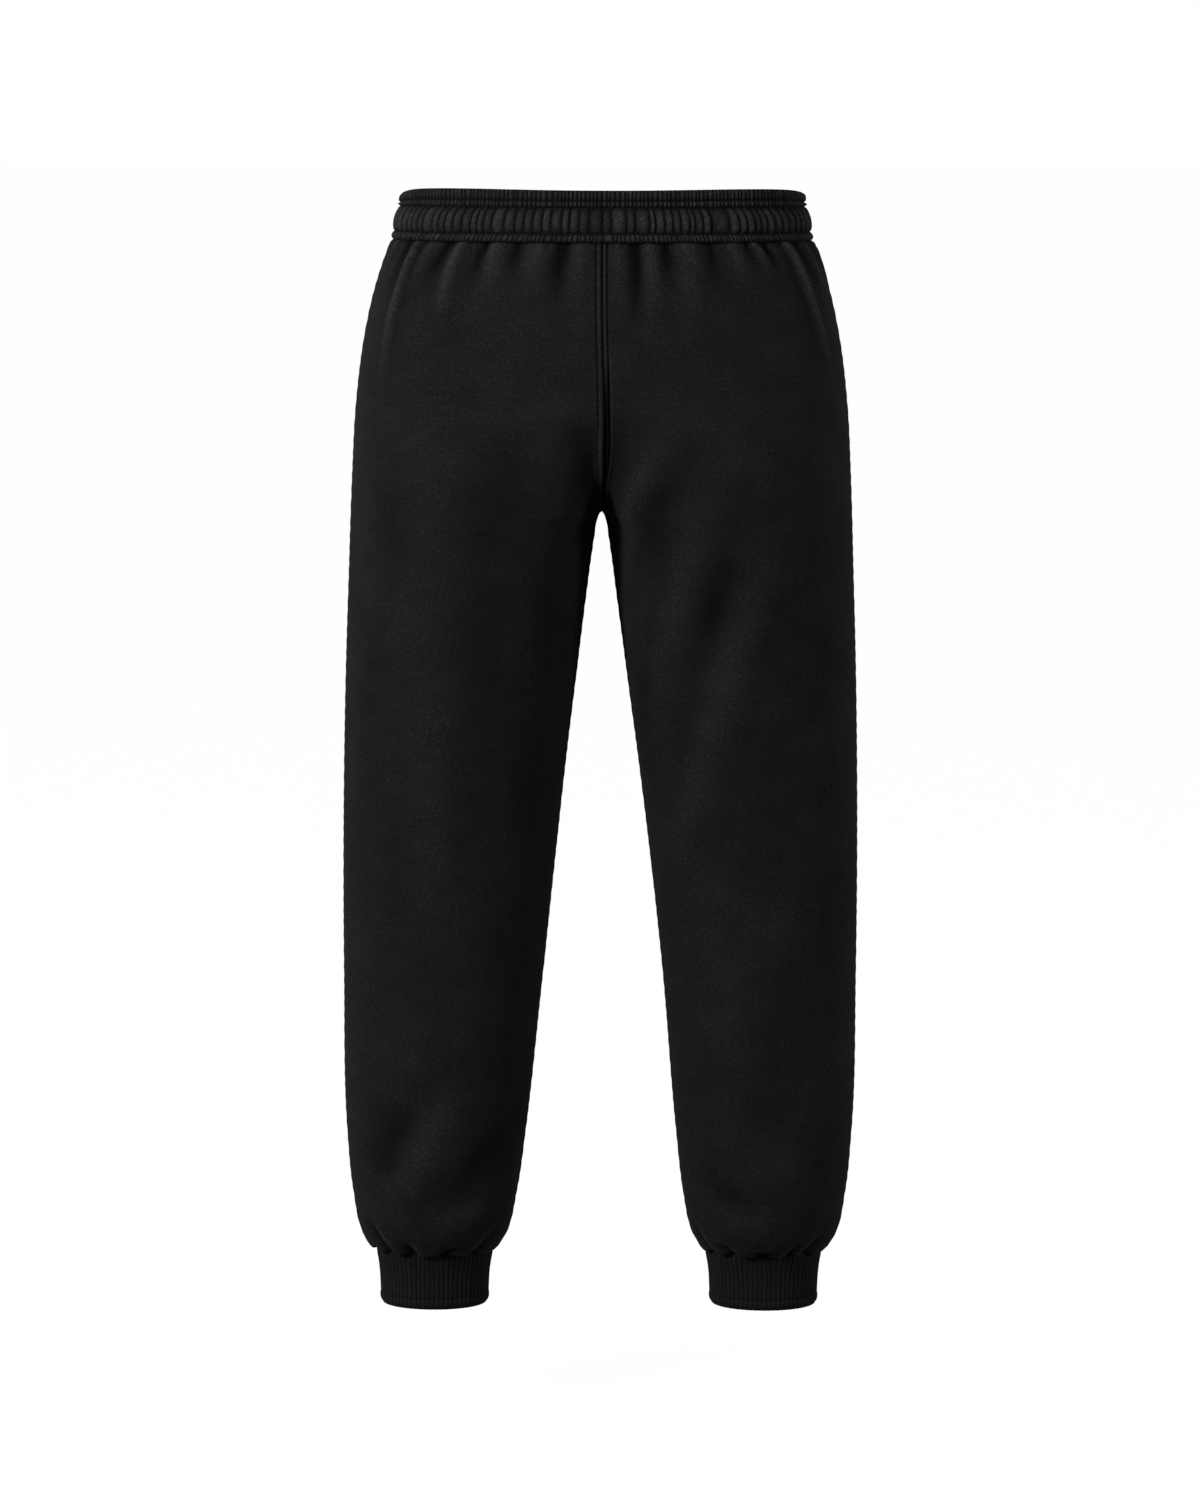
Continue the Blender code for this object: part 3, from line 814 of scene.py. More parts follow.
def crests(place, edges, heights, roundness):
    """Height of the plump crest between two creases, at each place round the loop."""
    girth = edges[-1]
    place = np.mod(place, girth)
    index = np.clip(np.searchsorted(edges, place, side="right") - 1, 0, len(edges) - 2)
    share = (place - edges[index]) / (edges[index + 1] - edges[index])
    return heights[index] * np.sin(math.pi * np.clip(share, 0, 1)) ** roundness


GATHER_PITCH = 0.0082
RIB_PITCH = 0.0039
JOIN_EDGES = (0.0080, 0.0215, 0.0290, -0.0118, -0.0205)
gather_edges = uneven_edges(BAND_GIRTH, GATHER_PITCH, 0.24, 3, JOIN_EDGES)
rib_edges = uneven_edges(BAND_GIRTH, RIB_PITCH, 0.20, 4, (0.0042,))
strip_edges = uneven_edges(BAND_GIRTH, RIB_PITCH, 0.20, 5, (0.0012, 0.0100))
random_band = np.random.default_rng(6)
gather_heights = random_band.uniform(0.72, 1.12, len(gather_edges) - 1)
rib_heights = random_band.uniform(0.7, 1.15, len(rib_edges) - 1)
strip_heights = random_band.uniform(0.7, 1.15, len(strip_edges) - 1)
gather_heights[[0, 1, 2]] = 0.66, 1.0, 0.85
gather_heights[[-2, -1]] = 0.70, 0.62
print(len(gather_heights), "gathers and", len(rib_heights), "ribs round the waist")


# %% Heights and wear of the waistband
CHANNEL_PUFF = 0.0006
GATHER_HEIGHT = 0.0036
RIB_HEIGHT = 0.0021
SEAM_ALLOWANCE = 0.0030  # how far the inside reaches below the waist seam, to close it
LINING_ROWS = 7


def side_share(turn):
    """0 at the centre back and front, 1 and -1 at the right and left sides."""
    return np.sin(turn * math.pi / 2)


def crest_highlight(crest):
    """Painted highlight on only the top of a crest, and painted shade on its flanks."""
    return 1.3 * crest**1.5


def zone_rows(upper, lower, count):
    """Rows from one line of stitches to the next, crowded at both."""
    t = (1 - np.cos(np.linspace(0, math.pi, count))) / 2
    return t, upper.z + (lower.z - upper.z) * t, upper.out + (lower.out - upper.out) * t


def band_rows():
    """The outside from the top edge down: height, and how far out and how raised each point is."""
    # Each row's last value is `raised`: painted highlight on crests of ribs and gathers, painted
    # shade between them.
    place, side = BAND_PLACES, side_share(BAND_TURNS)
    rows = []
    for t, z, out in zip(*zone_rows(HEADER_TOP, HEADER_STITCHES, 9)):
        swell = math.sin(math.pi * min(0.18 + t * 0.82, 1)) ** 0.5
        ribs = crests(place + 0.0008 * side * (1 - t), rib_edges, rib_heights, 0.7)
        rows.append((z, out + swell * (0.0005 + RIB_HEIGHT * ribs), crest_highlight(swell * ribs)))
    for t, z, out in list(zip(*zone_rows(HEADER_STITCHES, CHANNEL_TOP_STITCHES, 8)))[1:]:
        swell = math.sin(math.pi * t) ** 0.7
        ribs = crests(place + 0.0006 * side * t, rib_edges, rib_heights, 0.7)
        rows.append((z, out + swell * (0.0006 + 1.2 * RIB_HEIGHT * ribs), crest_highlight(swell * ribs)))
    for t, z, out in list(zip(*zone_rows(CHANNEL_TOP_STITCHES, CHANNEL_LOW_STITCHES, 18)))[1:]:
        swell = math.sin(math.pi * t) ** 0.62
        lean = 0.0050 * max(1 - t / 0.45, 0) ** 1.6 + 0.0016 * max((t - 0.65) / 0.35, 0) ** 1.5
        plump = crests(place + lean * side, gather_edges, gather_heights, 0.55)
        height = CHANNEL_PUFF * swell + GATHER_HEIGHT * plump * swell**0.7
        rows.append((z, out + height, crest_highlight(plump * swell**0.7)))
    for t, z, out in list(zip(*zone_rows(CHANNEL_LOW_STITCHES, BAND_SEAM, 9)))[1:]:
        swell = math.sin(math.pi * t) ** 0.6 if t < 1 else 0.0
        slant = 0.0026 * (t - 0.5) * np.clip(side * 3, -1, 1)
        ribs = crests(place - slant, strip_edges, strip_heights, 0.7)
        rows.append((z, out + swell * (0.0006 + 0.9 * RIB_HEIGHT * ribs), crest_highlight(swell * ribs)))
    return rows


print(len(band_rows()), "rows down the outside of the waistband")


# %% Inside of the waistband and its rings
def edge_wave(turn):
    """How the top edge rises beside the centre back and falls at the sides."""
    from_back = np.minimum(turn, 4 - turn)
    lift = 0.0012 * np.sin(math.pi * np.clip(from_back / 0.92, 0, 1)) ** 2
    at_side = np.where(turn > 2, -0.0078, -0.0056) * bump(from_back - 1.04, 0.20)
    return lift + at_side


def band_lining_rows():
    """The inside, from the top edge down to just below the waist seam, which it closes."""
    rows = []
    for z in np.linspace(HEADER_TOP.z - 0.0006, BAND_SEAM.z - SEAM_ALLOWANCE, LINING_ROWS):
        t = (HEADER_TOP.z - z) / (HEADER_TOP.z - BAND_SEAM.z)
        plump = crests(BAND_PLACES, gather_edges, gather_heights, 0.8)
        rows.append((z, -0.0046 + 0.0042 * t - 0.0012 * plump * math.sin(math.pi * min(t, 1))))
    return rows


def ring_points(z, out):
    x, y = band_oval(BAND_TURNS, out)
    depth = np.where(y < 0, WAIST_BACK, WAIST_FRONT) + out
    near_top = smoothstep(CHANNEL_TOP_STITCHES.z - 0.004, HEADER_TOP.z, np.full_like(x, z))
    height = z - waist_drop(y, depth) + edge_wave(BAND_TURNS) * near_top
    return np.stack([x, y, height], axis=-1)


def loop_shell(name, rings, places, raised, girth, flip=False):
    """A closed loop of cloth: rings joined each to the next, and the last to the first."""
    count = len(rings[0])
    index = np.arange(len(rings) * count).reshape(len(rings), count)
    index = np.concatenate([index, index[:1]])
    index = np.concatenate([index, index[:, :1]], axis=1)
    faces = grid_faces(index)
    if flip:
        faces = [face[::-1] for face in faces]
    return cloth_object(name, np.concatenate(rings), faces, places, raised, girth)


print("the inside is", len(band_lining_rows()), "rows")

# %% Make the waistband
outside_rows = band_rows()
lining_rows = band_lining_rows()
band_rings = [seat_seam_shift(ring_points(z, out)) for z, out, raised in outside_rows]
band_rings += [seat_seam_shift(ring_points(z, out)) for z, out in reversed(lining_rows)]
band_raised = [raised for z, out, raised in outside_rows]
band_raised += [np.full(BAND_COLUMNS, PLAIN_SHADE_LEVEL)] * LINING_ROWS
band_heights = [row[0] for row in outside_rows] + [z + 0.06 for z, out in reversed(lining_rows)]
band_places = np.concatenate(
    [np.stack([BAND_PLACES, np.full_like(BAND_PLACES, z)], axis=-1) for z in band_heights]
)
waistband = loop_shell("fleece_waistband", band_rings, band_places,
                       np.concatenate(band_raised), BAND_GIRTH, flip=True)
print(waistband.name, len(waistband.data.polygons), "faces")

# %% [markdown]
# ## Rib cuffs
#
# The cuffs are a rib knit: columns of raised stitches with a narrow valley between. The knit is
# folded double, and one row of stitches holds the fold a little above the hem. The top of a cuff
# goes up inside the leg, so that the bags of the leg hang over it. Ribs are modelled, because
# they show in outline at the hem, and the single stitches of the knit are left to the surface.

# %% Make the cuffs
CUFF_RIBS = 70
CUFF_COLUMNS = CUFF_RIBS * 9
CUFF_THICKNESS = 0.0024
CUFF_RIB_HEIGHT = 0.00085
CUFF_STITCH_Z = -0.9912
CUFF_TOP_Z = CUFF_SECTIONS[0].z
HEM_EDGE_Z = HEM_Z + 0.0008


def cuff_turn_points(turn, z, out):
    """Points of a right cuff's ring: turn 0 is the inseam, 1 the side seam."""
    behind = turn < 1
    across = np.where(behind, turn, 2 - turn)
    facing = np.where(behind, -1, 1)
    back, front = curve_at(CUFF_SECTIONS, "back", z), curve_at(CUFF_SECTIONS, "front", z)
    depth = np.where(behind, back, front)
    outer = curve_at(CUFF_SECTIONS, "outer", z) + out
    inner = curve_at(CUFF_SECTIONS, "inner", z) - out
    x, y = leg_ring_point(across, outer, inner, depth + out)
    return np.stack([x, facing * y, np.full_like(x, z)], axis=-1)


def even_turns(count):
    fine = np.linspace(0, 2, 8001)
    points = cuff_turn_points(fine, CUFF_STITCH_Z, 0.0)
    arc = running_length(np.linalg.norm(np.diff(points, axis=0), axis=-1))
    places = np.linspace(0, arc[-1], count, endpoint=False)
    return np.interp(places, arc, fine), places, arc[-1]


CUFF_TURNS, CUFF_PLACES, CUFF_GIRTH = even_turns(CUFF_COLUMNS)


def make_cuff(side, seed):
    edges = uneven_edges(CUFF_GIRTH, CUFF_GIRTH / CUFF_RIBS, 0.05, seed)
    random = np.random.default_rng(seed)
    heights = random.uniform(0.85, 1.1, len(edges) - 1)
    phase = random.uniform(0, 2 * math.pi, 2)
    rings, levels, raised = [], [], []
    upper = spaced(40, CUFF_TOP_Z, HEM_EDGE_Z, lambda z: 1 + 2.5 * bump(z - CUFF_STITCH_Z, 0.003)
                   + 3 * bump(z - HEM_EDGE_Z, 0.003))
    for z in upper:
        wander = 0.0011 * np.sin(2 * math.pi * CUFF_PLACES / 0.036 + phase[0])
        wander = wander * smoothstep(-0.972, -0.948, z)
        ribs = crests(CUFF_PLACES + wander, edges, heights, 0.75)
        stitched = -0.0004 * bump(z - CUFF_STITCH_Z, 0.0009)
        hem_swell = 0.0007 * bump(z - (CUFF_STITCH_Z - 0.0045), 0.0040)
        turned_in = -0.0014 * bump(z - HEM_EDGE_Z, 0.0022)
        out = CUFF_RIB_HEIGHT * (ribs - 0.5) * (1 - 0.35 * bump(z - HEM_EDGE_Z, 0.002))
        rings.append(cuff_turn_points(CUFF_TURNS, z, out + stitched + hem_swell + turned_in))
        # `raised` paints highlight on rib crests and shade in the valleys and along the stitches,
        # and is a little paler below the stitches.
        in_stitches = 0.35 * bump(z - CUFF_STITCH_Z, 0.0010)
        raised.append(0.85 * ribs + 0.1 - in_stitches + 0.12 * (z < CUFF_STITCH_Z - 0.001))
        levels.append(z)
    for z in np.linspace(HEM_EDGE_Z + 0.0004, CUFF_TOP_Z, 9):
        ribs = crests(CUFF_PLACES, edges, heights, 0.75)
        out = -CUFF_THICKNESS - 0.4 * CUFF_RIB_HEIGHT * (1 - ribs)
        rings.append(cuff_turn_points(CUFF_TURNS, z, out))
        raised.append(np.full(CUFF_COLUMNS, PLAIN_SHADE_LEVEL))
        levels.append(z + 0.08)
    for ring in rings:
        ring[:, 0] *= side
    places = np.concatenate(
        [np.stack([CUFF_PLACES, np.full_like(CUFF_PLACES, z)], axis=-1) for z in levels]
    )
    name = "rib_cuff_left" if side < 0 else "rib_cuff_right"
    piece = loop_shell(name, rings, places, np.concatenate(raised), CUFF_GIRTH, flip=side > 0)
    stitch_ring = rings[int(np.argmin(np.abs(np.array(levels) - CUFF_STITCH_Z)))]
    return piece, stitch_ring


cuffs, cuff_stitch_rings = {}, {}
for side, side_name in ((-1, "left"), (1, "right")):
    cuffs[side_name], cuff_stitch_rings[side_name] = make_cuff(side, 60 + side)
    print(cuffs[side_name].name, "is", round(CUFF_GIRTH, 3), "m round")

# %% [markdown]
# ## Stitches
#
# Black thread on black cloth hardly shows, but each stitch pulls a small dent and catches a small
# light, and the eye reads the row. One stitch is a short spindle laid along the line and half
# sunk in the cloth. A function walks along a line of points and lays them at an even pitch.

# %% One stitch
STITCH_PITCH = 0.0032
STITCH_LENGTH = 0.0024
STITCH_RADIUS = 0.00036
SPINDLE = ((-0.5, 0.25), (-0.32, 0.85), (0.0, 1.0), (0.32, 0.85), (0.5, 0.25))
SPINDLE_SIDES = 6


def stitch_points(centre, along, up):
    """One spindle: rings of points along the stitch."""
    across = np.cross(along, up)
    rings = []
    for share, size in SPINDLE:
        for side in range(SPINDLE_SIDES):
            angle = 2 * math.pi * side / SPINDLE_SIDES
            round_offset = math.cos(angle) * across + math.sin(angle) * up
            rings.append(centre + along * share * STITCH_LENGTH
                         + round_offset * size * STITCH_RADIUS)
    return rings


def spindle_faces(start):
    faces = []
    for ring in range(len(SPINDLE) - 1):
        for side in range(SPINDLE_SIDES):
            here = start + ring * SPINDLE_SIDES
            step = (side + 1) % SPINDLE_SIDES
            above = here + SPINDLE_SIDES
            faces.append((here + side, here + step, above + step, above + side))
    faces.append(tuple(start + side for side in reversed(range(SPINDLE_SIDES))))
    last = start + (len(SPINDLE) - 1) * SPINDLE_SIDES
    faces.append(tuple(last + side for side in range(SPINDLE_SIDES)))
    return faces


print("a stitch has", len(spindle_faces(0)), "faces")


# %% Lay stitches along lines
def lay_stitches(name, lines):
    """Each line is (points, ways out, closed). All of them become one object."""
    points, faces = [], []
    for line, normals, closed in lines:
        if closed:
            line, normals = np.vstack([line, line[:1]]), np.vstack([normals, normals[:1]])
        steps = np.linalg.norm(np.diff(line, axis=0), axis=1)
        arc = running_length(steps)
        for place in np.arange(STITCH_PITCH / 2, arc[-1] - STITCH_PITCH / 2, STITCH_PITCH):
            spots = [place - STITCH_LENGTH / 2, place, place + STITCH_LENGTH / 2]
            before, centre, after = (
                np.array([np.interp(spot, arc, line[:, axis]) for axis in range(3)])
                for spot in spots
            )
            up = np.array([np.interp(place, arc, normals[:, axis]) for axis in range(3)])
            along = (after - before) / np.linalg.norm(after - before)
            up = up - along * (up @ along)
            up = up / np.linalg.norm(up)
            faces += spindle_faces(len(points))
            points += stitch_points(centre + up * STITCH_RADIUS * 0.1, along, up)
    mesh = bpy.data.meshes.new(name)
    mesh.from_pydata([tuple(point) for point in points], [], faces)
    mesh.shade_smooth()
    return add_object(name, mesh)


print("a stitch every", STITCH_PITCH * 1000, "mm")


# %% Rows of stitches
def outward_of_ring(ring):
    """Level way out of a closed ring of points round its own middle."""
    along = np.roll(ring, -1, axis=0) - np.roll(ring, 1, axis=0)
    normal = np.cross(along, [0, 0, 1])
    normal /= np.linalg.norm(normal, axis=1, keepdims=True)
    middle = ring.mean(axis=0)
    inward = ((ring - middle) * normal).sum(axis=1) < 0
    return np.where(inward[:, None], -normal, normal)


def centre_stitch_line(panel, side, facing):
    outside, from_centre = panel_grids[panel]
    on_body = (PANEL_Z > CROTCH_Z + 0.004) & (PANEL_Z < WAIST_SEAM_Z - 0.003)
    column = int(np.argmin(np.abs(from_centre[0] - STITCH_LINES[side])))
    line = outside[on_body, column]
    normals = outward(outside, 1)[on_body, column]
    behind = normals[:, 1] * facing < 0
    return line, np.where(behind[:, None], -normals, normals), False


centre_lines = [centre_stitch_line(panel, side, facing) for panel, side, facing, seed in PANELS]
stitches_body = lay_stitches("stitches_centre_seams", centre_lines)

row_heights = np.array([row[0] for row in outside_rows])
band_lines = []
for line in (HEADER_STITCHES, CHANNEL_TOP_STITCHES, CHANNEL_LOW_STITCHES):
    ring = band_rings[int(np.argmin(np.abs(row_heights - line.z)))]
    band_lines.append((ring, outward_of_ring(ring), True))
stitches_band = lay_stitches("stitches_waistband", band_lines)

stitches_cuffs = {}
for side_name, ring in cuff_stitch_rings.items():
    lines = [(ring, outward_of_ring(ring), True)]
    stitches_cuffs[side_name] = lay_stitches(f"stitches_cuff_{side_name}", lines)
print("stitch faces:", len(stitches_body.data.polygons) + len(stitches_band.data.polygons))

# %% [markdown]
# ## Nap, as a node group
#
# Brushed fleece has a short nap: fine fibres, mostly lying one way, over a soft mottle. The rib
# knit has the same fibres, only shorter and fewer. So the nap is a node group that both materials
# use, with its own values in each. It reads the cloth's coordinates, so it runs round the legs
# with the cloth. It gives masks and a height, and leaves the shader to each material.


# %% Node group helpers
def new_group(name, inputs, outputs):
    group = bpy.data.node_groups.new(name, "ShaderNodeTree")
    for socket_name, kind, default in inputs:
        socket = group.interface.new_socket(socket_name, in_out="INPUT", socket_type=kind)
        if default is not None:
            socket.default_value = default
    for socket_name, kind in outputs:
        group.interface.new_socket(socket_name, in_out="OUTPUT", socket_type=kind)
    return group, group.nodes.new("NodeGroupInput"), group.nodes.new("NodeGroupOutput")


def add_node(tree, kind, **settings):
    """A node with its settings, and with values for inputs whose names start with a capital."""
    node = tree.nodes.new(kind)
    for name, value in settings.items():
        if name[0].isupper():
            node.inputs[name.replace("_", " ")].default_value = value
        else:
            setattr(node, name, value)
    return node


def math_node(tree, operation, first, second):
    """An arithmetic node whose inputs are sockets or numbers."""
    node = add_node(tree, "ShaderNodeMath", operation=operation)
    for socket, value in zip(node.inputs, (first, second)):
        if isinstance(value, (int, float)):
            socket.default_value = value
        else:
            tree.links.new(value, socket)
    return node.outputs[0]


# %% The nap group
def nap_group():
    group, inputs, outputs = new_group(
        "nap",
        [
            ("Cloth", "NodeSocketVector", None),
            ("Fibre Length", "NodeSocketFloat", 0.007),
            ("Fibre Width", "NodeSocketFloat", 0.0009),
            ("Lay Angle", "NodeSocketFloat", 0.7),
            ("Mottle Size", "NodeSocketFloat", 0.0035),
        ],
        [("Fibres", "NodeSocketFloat"), ("Mottle", "NodeSocketFloat"),
         ("Cloudiness", "NodeSocketFloat"), ("Height", "NodeSocketFloat")],
    )
    links = group.links
    turned = add_node(group, "ShaderNodeVectorRotate", rotation_type="Z_AXIS")
    links.new(inputs.outputs["Cloth"], turned.inputs["Vector"])
    lay = math_node(group, "MULTIPLY", inputs.outputs["Lay Angle"], -1.0)
    links.new(lay, turned.inputs["Angle"])
    stretch = add_node(group, "ShaderNodeCombineXYZ", Z=1.0)
    per_length = math_node(group, "DIVIDE", 1.0, inputs.outputs["Fibre Length"])
    per_width = math_node(group, "DIVIDE", 1.0, inputs.outputs["Fibre Width"])
    links.new(per_length, stretch.inputs["X"])
    links.new(per_width, stretch.inputs["Y"])
    stretched = add_node(group, "ShaderNodeVectorMath", operation="MULTIPLY")
    links.new(turned.outputs["Vector"], stretched.inputs[0])
    links.new(stretch.outputs["Vector"], stretched.inputs[1])
    hairs = add_node(group, "ShaderNodeTexNoise", Scale=1.0, Detail=2.0, Roughness=0.6,
                     Distortion=0.5)
    links.new(stretched.outputs["Vector"], hairs.inputs["Vector"])
    picked = add_node(group, "ShaderNodeMapRange", From_Min=0.50, From_Max=0.72)
    links.new(hairs.outputs["Fac"], picked.inputs["Value"])

    per_mottle = math_node(group, "DIVIDE", 1.0, inputs.outputs["Mottle Size"])
    mottle = add_node(group, "ShaderNodeTexNoise", Detail=3.0, Roughness=0.65)
    links.new(inputs.outputs["Cloth"], mottle.inputs["Vector"])
    links.new(per_mottle, mottle.inputs["Scale"])
    clouds = add_node(group, "ShaderNodeTexNoise", Scale=16.0, Detail=3.0, Roughness=0.55)
    links.new(inputs.outputs["Cloth"], clouds.inputs["Vector"])

    half_hairs = math_node(group, "MULTIPLY", hairs.outputs["Fac"], 0.70)
    half_mottle = math_node(group, "MULTIPLY", mottle.outputs["Fac"], 0.30)
    height = math_node(group, "ADD", half_hairs, half_mottle)
    links.new(picked.outputs["Result"], outputs.inputs["Fibres"])
    links.new(mottle.outputs["Fac"], outputs.inputs["Mottle"])
    links.new(clouds.outputs["Fac"], outputs.inputs["Cloudiness"])
    links.new(height, outputs.inputs["Height"])
    return group


NAP = nap_group()
print("group", NAP.name, "gives", [item.name for item in NAP.interface.items_tree
                                   if item.in_out == "OUTPUT"])

# %% [markdown]
# ## Painted shade, as a node group
#
# The base colour is painted paler on every edge that stands up, as painted highlight, and stays
# deep black in folds and creases, as painted shade. Each piece carries that as a number at its
# points, called `raised`, and this group turns it into a colour. It does more for the look of the
# gathers than more light would.


# %% The painted shade group
def painted_shade_group():
    """Painted highlight where the cloth stands up, painted shade in folds and creases."""
    group, inputs, outputs = new_group(
        "painted_shade",
        [
            ("Colour", "NodeSocketColor", (0.01, 0.01, 0.01, 1)),
            ("Raised", "NodeSocketFloat", 0.5),
            ("In Creases", "NodeSocketFloat", 0.5),
            ("On Crests", "NodeSocketFloat", 1.4),
        ],
        [("Colour", "NodeSocketColor")],
    )
    # Scales the colour from painted shade in creases to painted highlight on crests.
    strength = add_node(group, "ShaderNodeMapRange")
    group.links.new(inputs.outputs["Raised"], strength.inputs["Value"])
    group.links.new(inputs.outputs["In Creases"], strength.inputs["To Min"])
    group.links.new(inputs.outputs["On Crests"], strength.inputs["To Max"])
    scaled = add_node(group, "ShaderNodeVectorMath", operation="SCALE")
    group.links.new(inputs.outputs["Colour"], scaled.inputs[0])
    group.links.new(strength.outputs["Result"], scaled.inputs["Scale"])
    group.links.new(scaled.outputs["Vector"], outputs.inputs["Colour"])
    return group


PAINTED_SHADE = painted_shade_group()
print("group", PAINTED_SHADE.name, "ready")

# %% [markdown]
# ## Cloth materials
#
# Both cloths are nearly black and quite matt. What tells fleece from plain black paint is the
# sheen: fibre ends that stand up catch light where the surface turns away, so the outline of a
# leg is paler than its middle. That is the Sheen of the Principled shader. The nap group gives
# the small variation of colour and relief, and the painted shade group paints the crests paler
# and the folds darker.


# %% Materials
def new_material(name, roughness, specular):
    """A material, its node tree and its shader."""
    material = bpy.data.materials.new(name)
    material.use_nodes = True
    shader = material.node_tree.nodes["Principled BSDF"]
    shader.inputs["Roughness"].default_value = roughness
    shader.inputs["Specular IOR Level"].default_value = specular
    return material, material.node_tree, shader


def set_values(node, values):
    for socket, value in values.items():
        node.inputs[socket].default_value = value


def cloth_material(name, colours, nap_values, painted_shade_values, bump_distance, sheen, roughness):
    material, tree, shader = new_material(name, roughness, specular=0.12)
    shader.inputs["Sheen Weight"].default_value = sheen[0]
    shader.inputs["Sheen Roughness"].default_value = sheen[1]
    shader.inputs["Sheen Tint"].default_value = (*sheen[2], 1)
    cloth = add_node(tree, "ShaderNodeUVMap", uv_map="cloth")
    nap = add_node(tree, "ShaderNodeGroup", node_tree=NAP)
    set_values(nap, nap_values)
    tree.links.new(cloth.outputs["UV"], nap.inputs["Cloth"])

    tone = add_node(tree, "ShaderNodeMix", data_type="RGBA")
    tone.inputs[6].default_value = (*colours[0], 1)
    tone.inputs[7].default_value = (*colours[1], 1)
    clouds = math_node(tree, "MULTIPLY", nap.outputs["Cloudiness"], 0.22)
    mixed = math_node(tree, "ADD", nap.outputs["Mottle"], clouds)
    tone_range = add_node(tree, "ShaderNodeMapRange", From_Min=0.44, From_Max=0.80)
    tree.links.new(mixed, tone_range.inputs["Value"])
    tree.links.new(tone_range.outputs["Result"], tone.inputs[0])
    fibred = add_node(tree, "ShaderNodeMix", data_type="RGBA")
    fibred.inputs[7].default_value = (*colours[2], 1)
    tree.links.new(nap.outputs["Fibres"], fibred.inputs[0])
    tree.links.new(tone.outputs[2], fibred.inputs[6])
    # `raised` drives painted shade in creases and painted highlight on crests of the base colour.
    raised = add_node(tree, "ShaderNodeAttribute", attribute_name="raised")
    painted_shade = add_node(tree, "ShaderNodeGroup", node_tree=PAINTED_SHADE)
    set_values(painted_shade, painted_shade_values)
    tree.links.new(fibred.outputs[2], painted_shade.inputs["Colour"])
    tree.links.new(raised.outputs["Fac"], painted_shade.inputs["Raised"])
    tree.links.new(painted_shade.outputs["Colour"], shader.inputs["Base Color"])

    relief = add_node(tree, "ShaderNodeBump", Strength=1.0, Distance=bump_distance)
    tree.links.new(nap.outputs["Height"], relief.inputs["Height"])
    tree.links.new(relief.outputs["Normal"], shader.inputs["Normal"])
    return material


fleece = cloth_material(
    "black_fleece",
    colours=((0.0036, 0.0036, 0.0038), (0.0112, 0.0110, 0.0112), (0.0165, 0.0163, 0.0165)),
    nap_values={"Fibre Length": 0.0044, "Fibre Width": 0.0011, "Lay Angle": 0.75,
                "Mottle Size": 0.0020},
    # painted shade in creases down to 0.10 of the colour, painted highlight on crests up to 3.15
    # times it
    painted_shade_values={"In Creases": 0.10, "On Crests": 3.15},
    bump_distance=0.0010,
    sheen=(0.03, 0.45, (0.80, 0.80, 0.82)),
    roughness=0.92,
)
rib_knit = cloth_material(
    "black_rib_knit",
    colours=((0.0050, 0.0050, 0.0053), (0.0090, 0.0089, 0.0090), (0.0130, 0.0128, 0.0130)),
    nap_values={"Fibre Length": 0.0030, "Fibre Width": 0.0010, "Lay Angle": 1.3,
                "Mottle Size": 0.0012},
    # painted shade in the rib's valleys, painted highlight on its crests
    painted_shade_values={"In Creases": 0.25, "On Crests": 1.60},
    bump_distance=0.0007,
    sheen=(0.03, 0.45, (0.80, 0.80, 0.82)),
    roughness=0.88,
)


def thread_material():
    """Polyester thread: darker and a little glossier than the cloth, with a fine twist."""
    material, tree, shader = new_material("black_thread", roughness=0.75, specular=0.15)
    place = add_node(tree, "ShaderNodeTexCoord")
    twist = add_node(tree, "ShaderNodeTexNoise", Scale=900.0, Detail=2.0)
    tree.links.new(place.outputs["Object"], twist.inputs["Vector"])
    tone = add_node(tree, "ShaderNodeMix", data_type="RGBA")
    tone.inputs[6].default_value = (0.003, 0.003, 0.003, 1)
    tone.inputs[7].default_value = (0.008, 0.008, 0.008, 1)
    tree.links.new(twist.outputs["Fac"], tone.inputs[0])
    tree.links.new(tone.outputs[2], shader.inputs["Base Color"])
    return material


thread = thread_material()
for piece in [*panels.values(), waistband]:
    piece.data.materials.append(fleece)
for piece in cuffs.values():
    piece.data.materials.append(rib_knit)
for piece in [stitches_body, stitches_band, *stitches_cuffs.values()]:
    piece.data.materials.append(thread)
print("materials:", fleece.name, rib_knit.name, thread.name)

# %% [markdown]
# ## What each piece stands for
#
# The new pieces replace the plain solids and ride on the same body. Each one is a sheet of cloth.
# The waistband is cut longer than the waist and gathered, and the rib of a cuff is cut shorter and
# stretched.

for panel, piece in panels.items():
    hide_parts(f"leg_{panel}")
    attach(piece, "root")
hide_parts("waistband")
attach(waistband, "root")
for side_name, piece in cuffs.items():
    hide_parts(f"cuff_{side_name}")
    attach(piece, "root")
for piece in [stitches_body, stitches_band, *stitches_cuffs.values()]:
    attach(piece, "root")

# %% [markdown]
# ## Studio
#
# A pale floor and backdrop with soft light. Black cloth needs more light than the room does, and
# light that comes from one side, or it turns into a flat shape: here a large soft light from the
# left draws the legs, and two tall narrow ones behind the garment draw its outline. The floor
# looks white to the camera but throws little light up, as a shaded floor would.

# %% Floor
FLOOR_Z = HEM_Z - 0.10
FLOOR_SIZE = 120.0


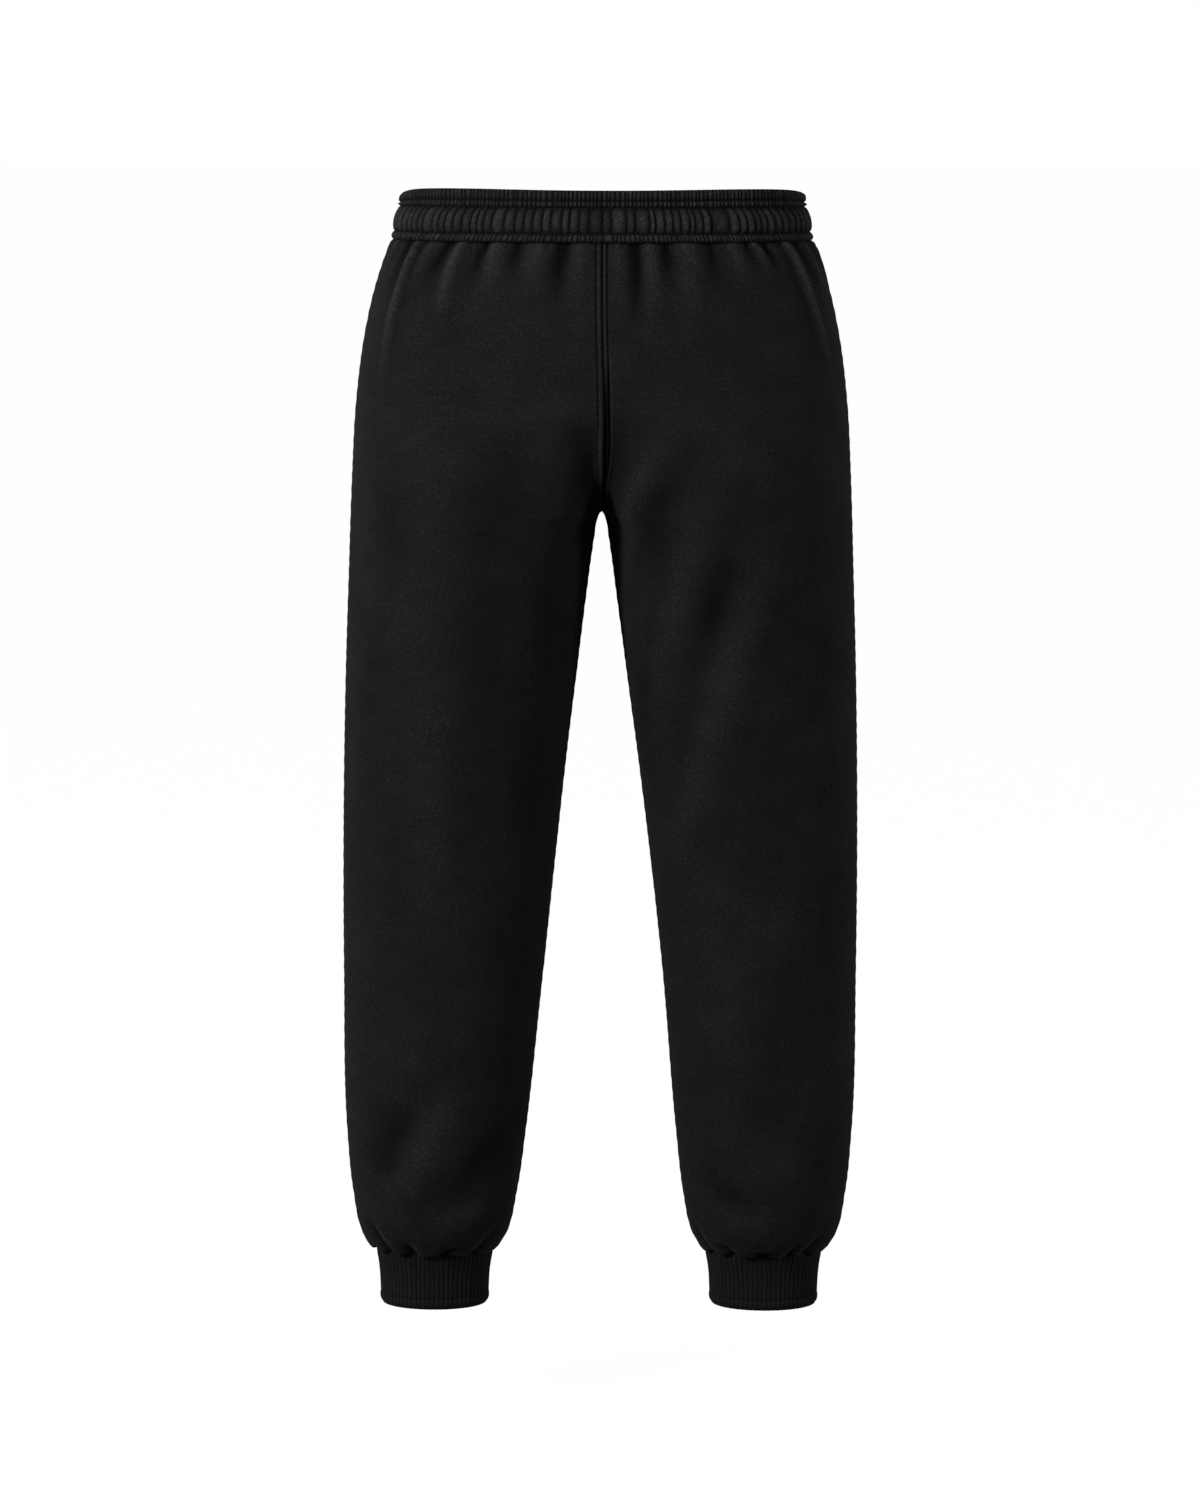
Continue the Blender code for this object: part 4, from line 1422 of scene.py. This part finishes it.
def floor_material():
    material, tree, shader = new_material("pale_floor", roughness=0.9, specular=0.0)
    shader.inputs["Base Color"].default_value = (0.08, 0.08, 0.08, 1)
    shader.inputs["Emission Strength"].default_value = 1.0
    path = add_node(tree, "ShaderNodeLightPath")
    glow = add_node(tree, "ShaderNodeMix", data_type="RGBA")
    glow.inputs[6].default_value = (0.02, 0.02, 0.02, 1)
    glow.inputs[7].default_value = (0.95, 0.95, 0.95, 1)
    tree.links.new(path.outputs["Is Camera Ray"], glow.inputs[0])
    tree.links.new(glow.outputs[2], shader.inputs["Emission Color"])
    return material


def make_floor():
    mesh = bpy.data.meshes.new("floor")
    half = FLOOR_SIZE / 2
    corners = [(-half, -half, FLOOR_Z), (half, -half, FLOOR_Z), (half, half, FLOOR_Z),
               (-half, half, FLOOR_Z)]
    mesh.from_pydata(corners, [], [(0, 1, 2, 3)])
    mesh.materials.append(floor_material())
    floor = add_object("floor", mesh)
    return floor


floor = make_floor()
print("floor at", round(FLOOR_Z, 3))

# %% Lights
Light = namedtuple("Light", "name place aim size power")
LIGHTS = (
    Light("key", (-2.9, -2.6, 1.1), (0, 0, -0.45), (0.7, 1.5), 120),
    Light("fill", (3.0, -2.3, 0.6), (0, 0, -0.45), (0.8, 1.6), 36),
    Light("left_rim", (-2.0, 0.9, 0.0), (-0.1, 0, -0.45), (0.4, 2.2), 3),
    Light("right_rim", (2.0, 0.9, 0.0), (0.1, 0, -0.45), (0.4, 2.2), 5),
)


def add_light(row):
    data = bpy.data.lights.new(row.name, "AREA")
    data.shape = "RECTANGLE"
    data.size, data.size_y = row.size
    data.energy = row.power
    light = add_object(row.name, data)
    light.location = row.place
    aim = Vector(row.aim) - Vector(row.place)
    light.rotation_euler = aim.to_track_quat("-Z", "Y").to_euler()


for row in LIGHTS:
    add_light(row)


def add_skylight(strength, spread):
    """An even light from overhead, soft because it comes from a wide part of the ceiling."""
    data = bpy.data.lights.new("ceiling", "SUN")
    data.energy = strength
    data.angle = math.radians(spread)
    light = add_object("ceiling", data)
    light.rotation_euler = (math.radians(-12), math.radians(-14), 0)


def add_world(seen, cast):
    """A white room: `seen` is how bright it looks, `cast` how much light it gives."""
    world = bpy.data.worlds.new("studio")
    world.use_nodes = True
    tree = world.node_tree
    background = tree.nodes["Background"]
    path = add_node(tree, "ShaderNodeLightPath")
    strength = add_node(tree, "ShaderNodeMapRange", To_Min=cast, To_Max=seen)
    tree.links.new(path.outputs["Is Camera Ray"], strength.inputs["Value"])
    tree.links.new(strength.outputs["Result"], background.inputs["Strength"])
    background.inputs["Color"].default_value = (1, 1, 1, 1)
    bpy.context.scene.world = world


add_skylight(strength=1.3, spread=70)
add_world(seen=1.0, cast=0.10)
bpy.context.scene.view_settings.view_transform = "Standard"
print(len(LIGHTS), "lights")

# %% [markdown]
# ## Camera
#
# The joggers are seen from behind and slightly above, from far off with a long lens, so that the
# legs stay parallel. A roll of a fraction of a degree sets how level the waist looks.

# %% Camera
CAMERA_DISTANCE = 5.2
CAMERA_ELEVATION = math.radians(7.0)
CAMERA_AIM = Vector((-0.0006, 0, -0.485))
CAMERA_ROLL = math.radians(0.18)
CAMERA_LENS = 135.6


def make_camera():
    data = bpy.data.cameras.new("camera")
    data.lens = CAMERA_LENS
    data.sensor_width = 36
    camera = add_object("camera", data)
    back = Vector((0, -math.cos(CAMERA_ELEVATION), math.sin(CAMERA_ELEVATION)))
    camera.location = CAMERA_AIM + back * CAMERA_DISTANCE
    rolled = Quaternion((0, 0, 1), CAMERA_ROLL)
    camera.rotation_euler = ((-back).to_track_quat("-Z", "Y") @ rolled).to_euler()
    bpy.context.scene.camera = camera
    return camera


camera = make_camera()
print("camera at", [round(value, 2) for value in camera.location])
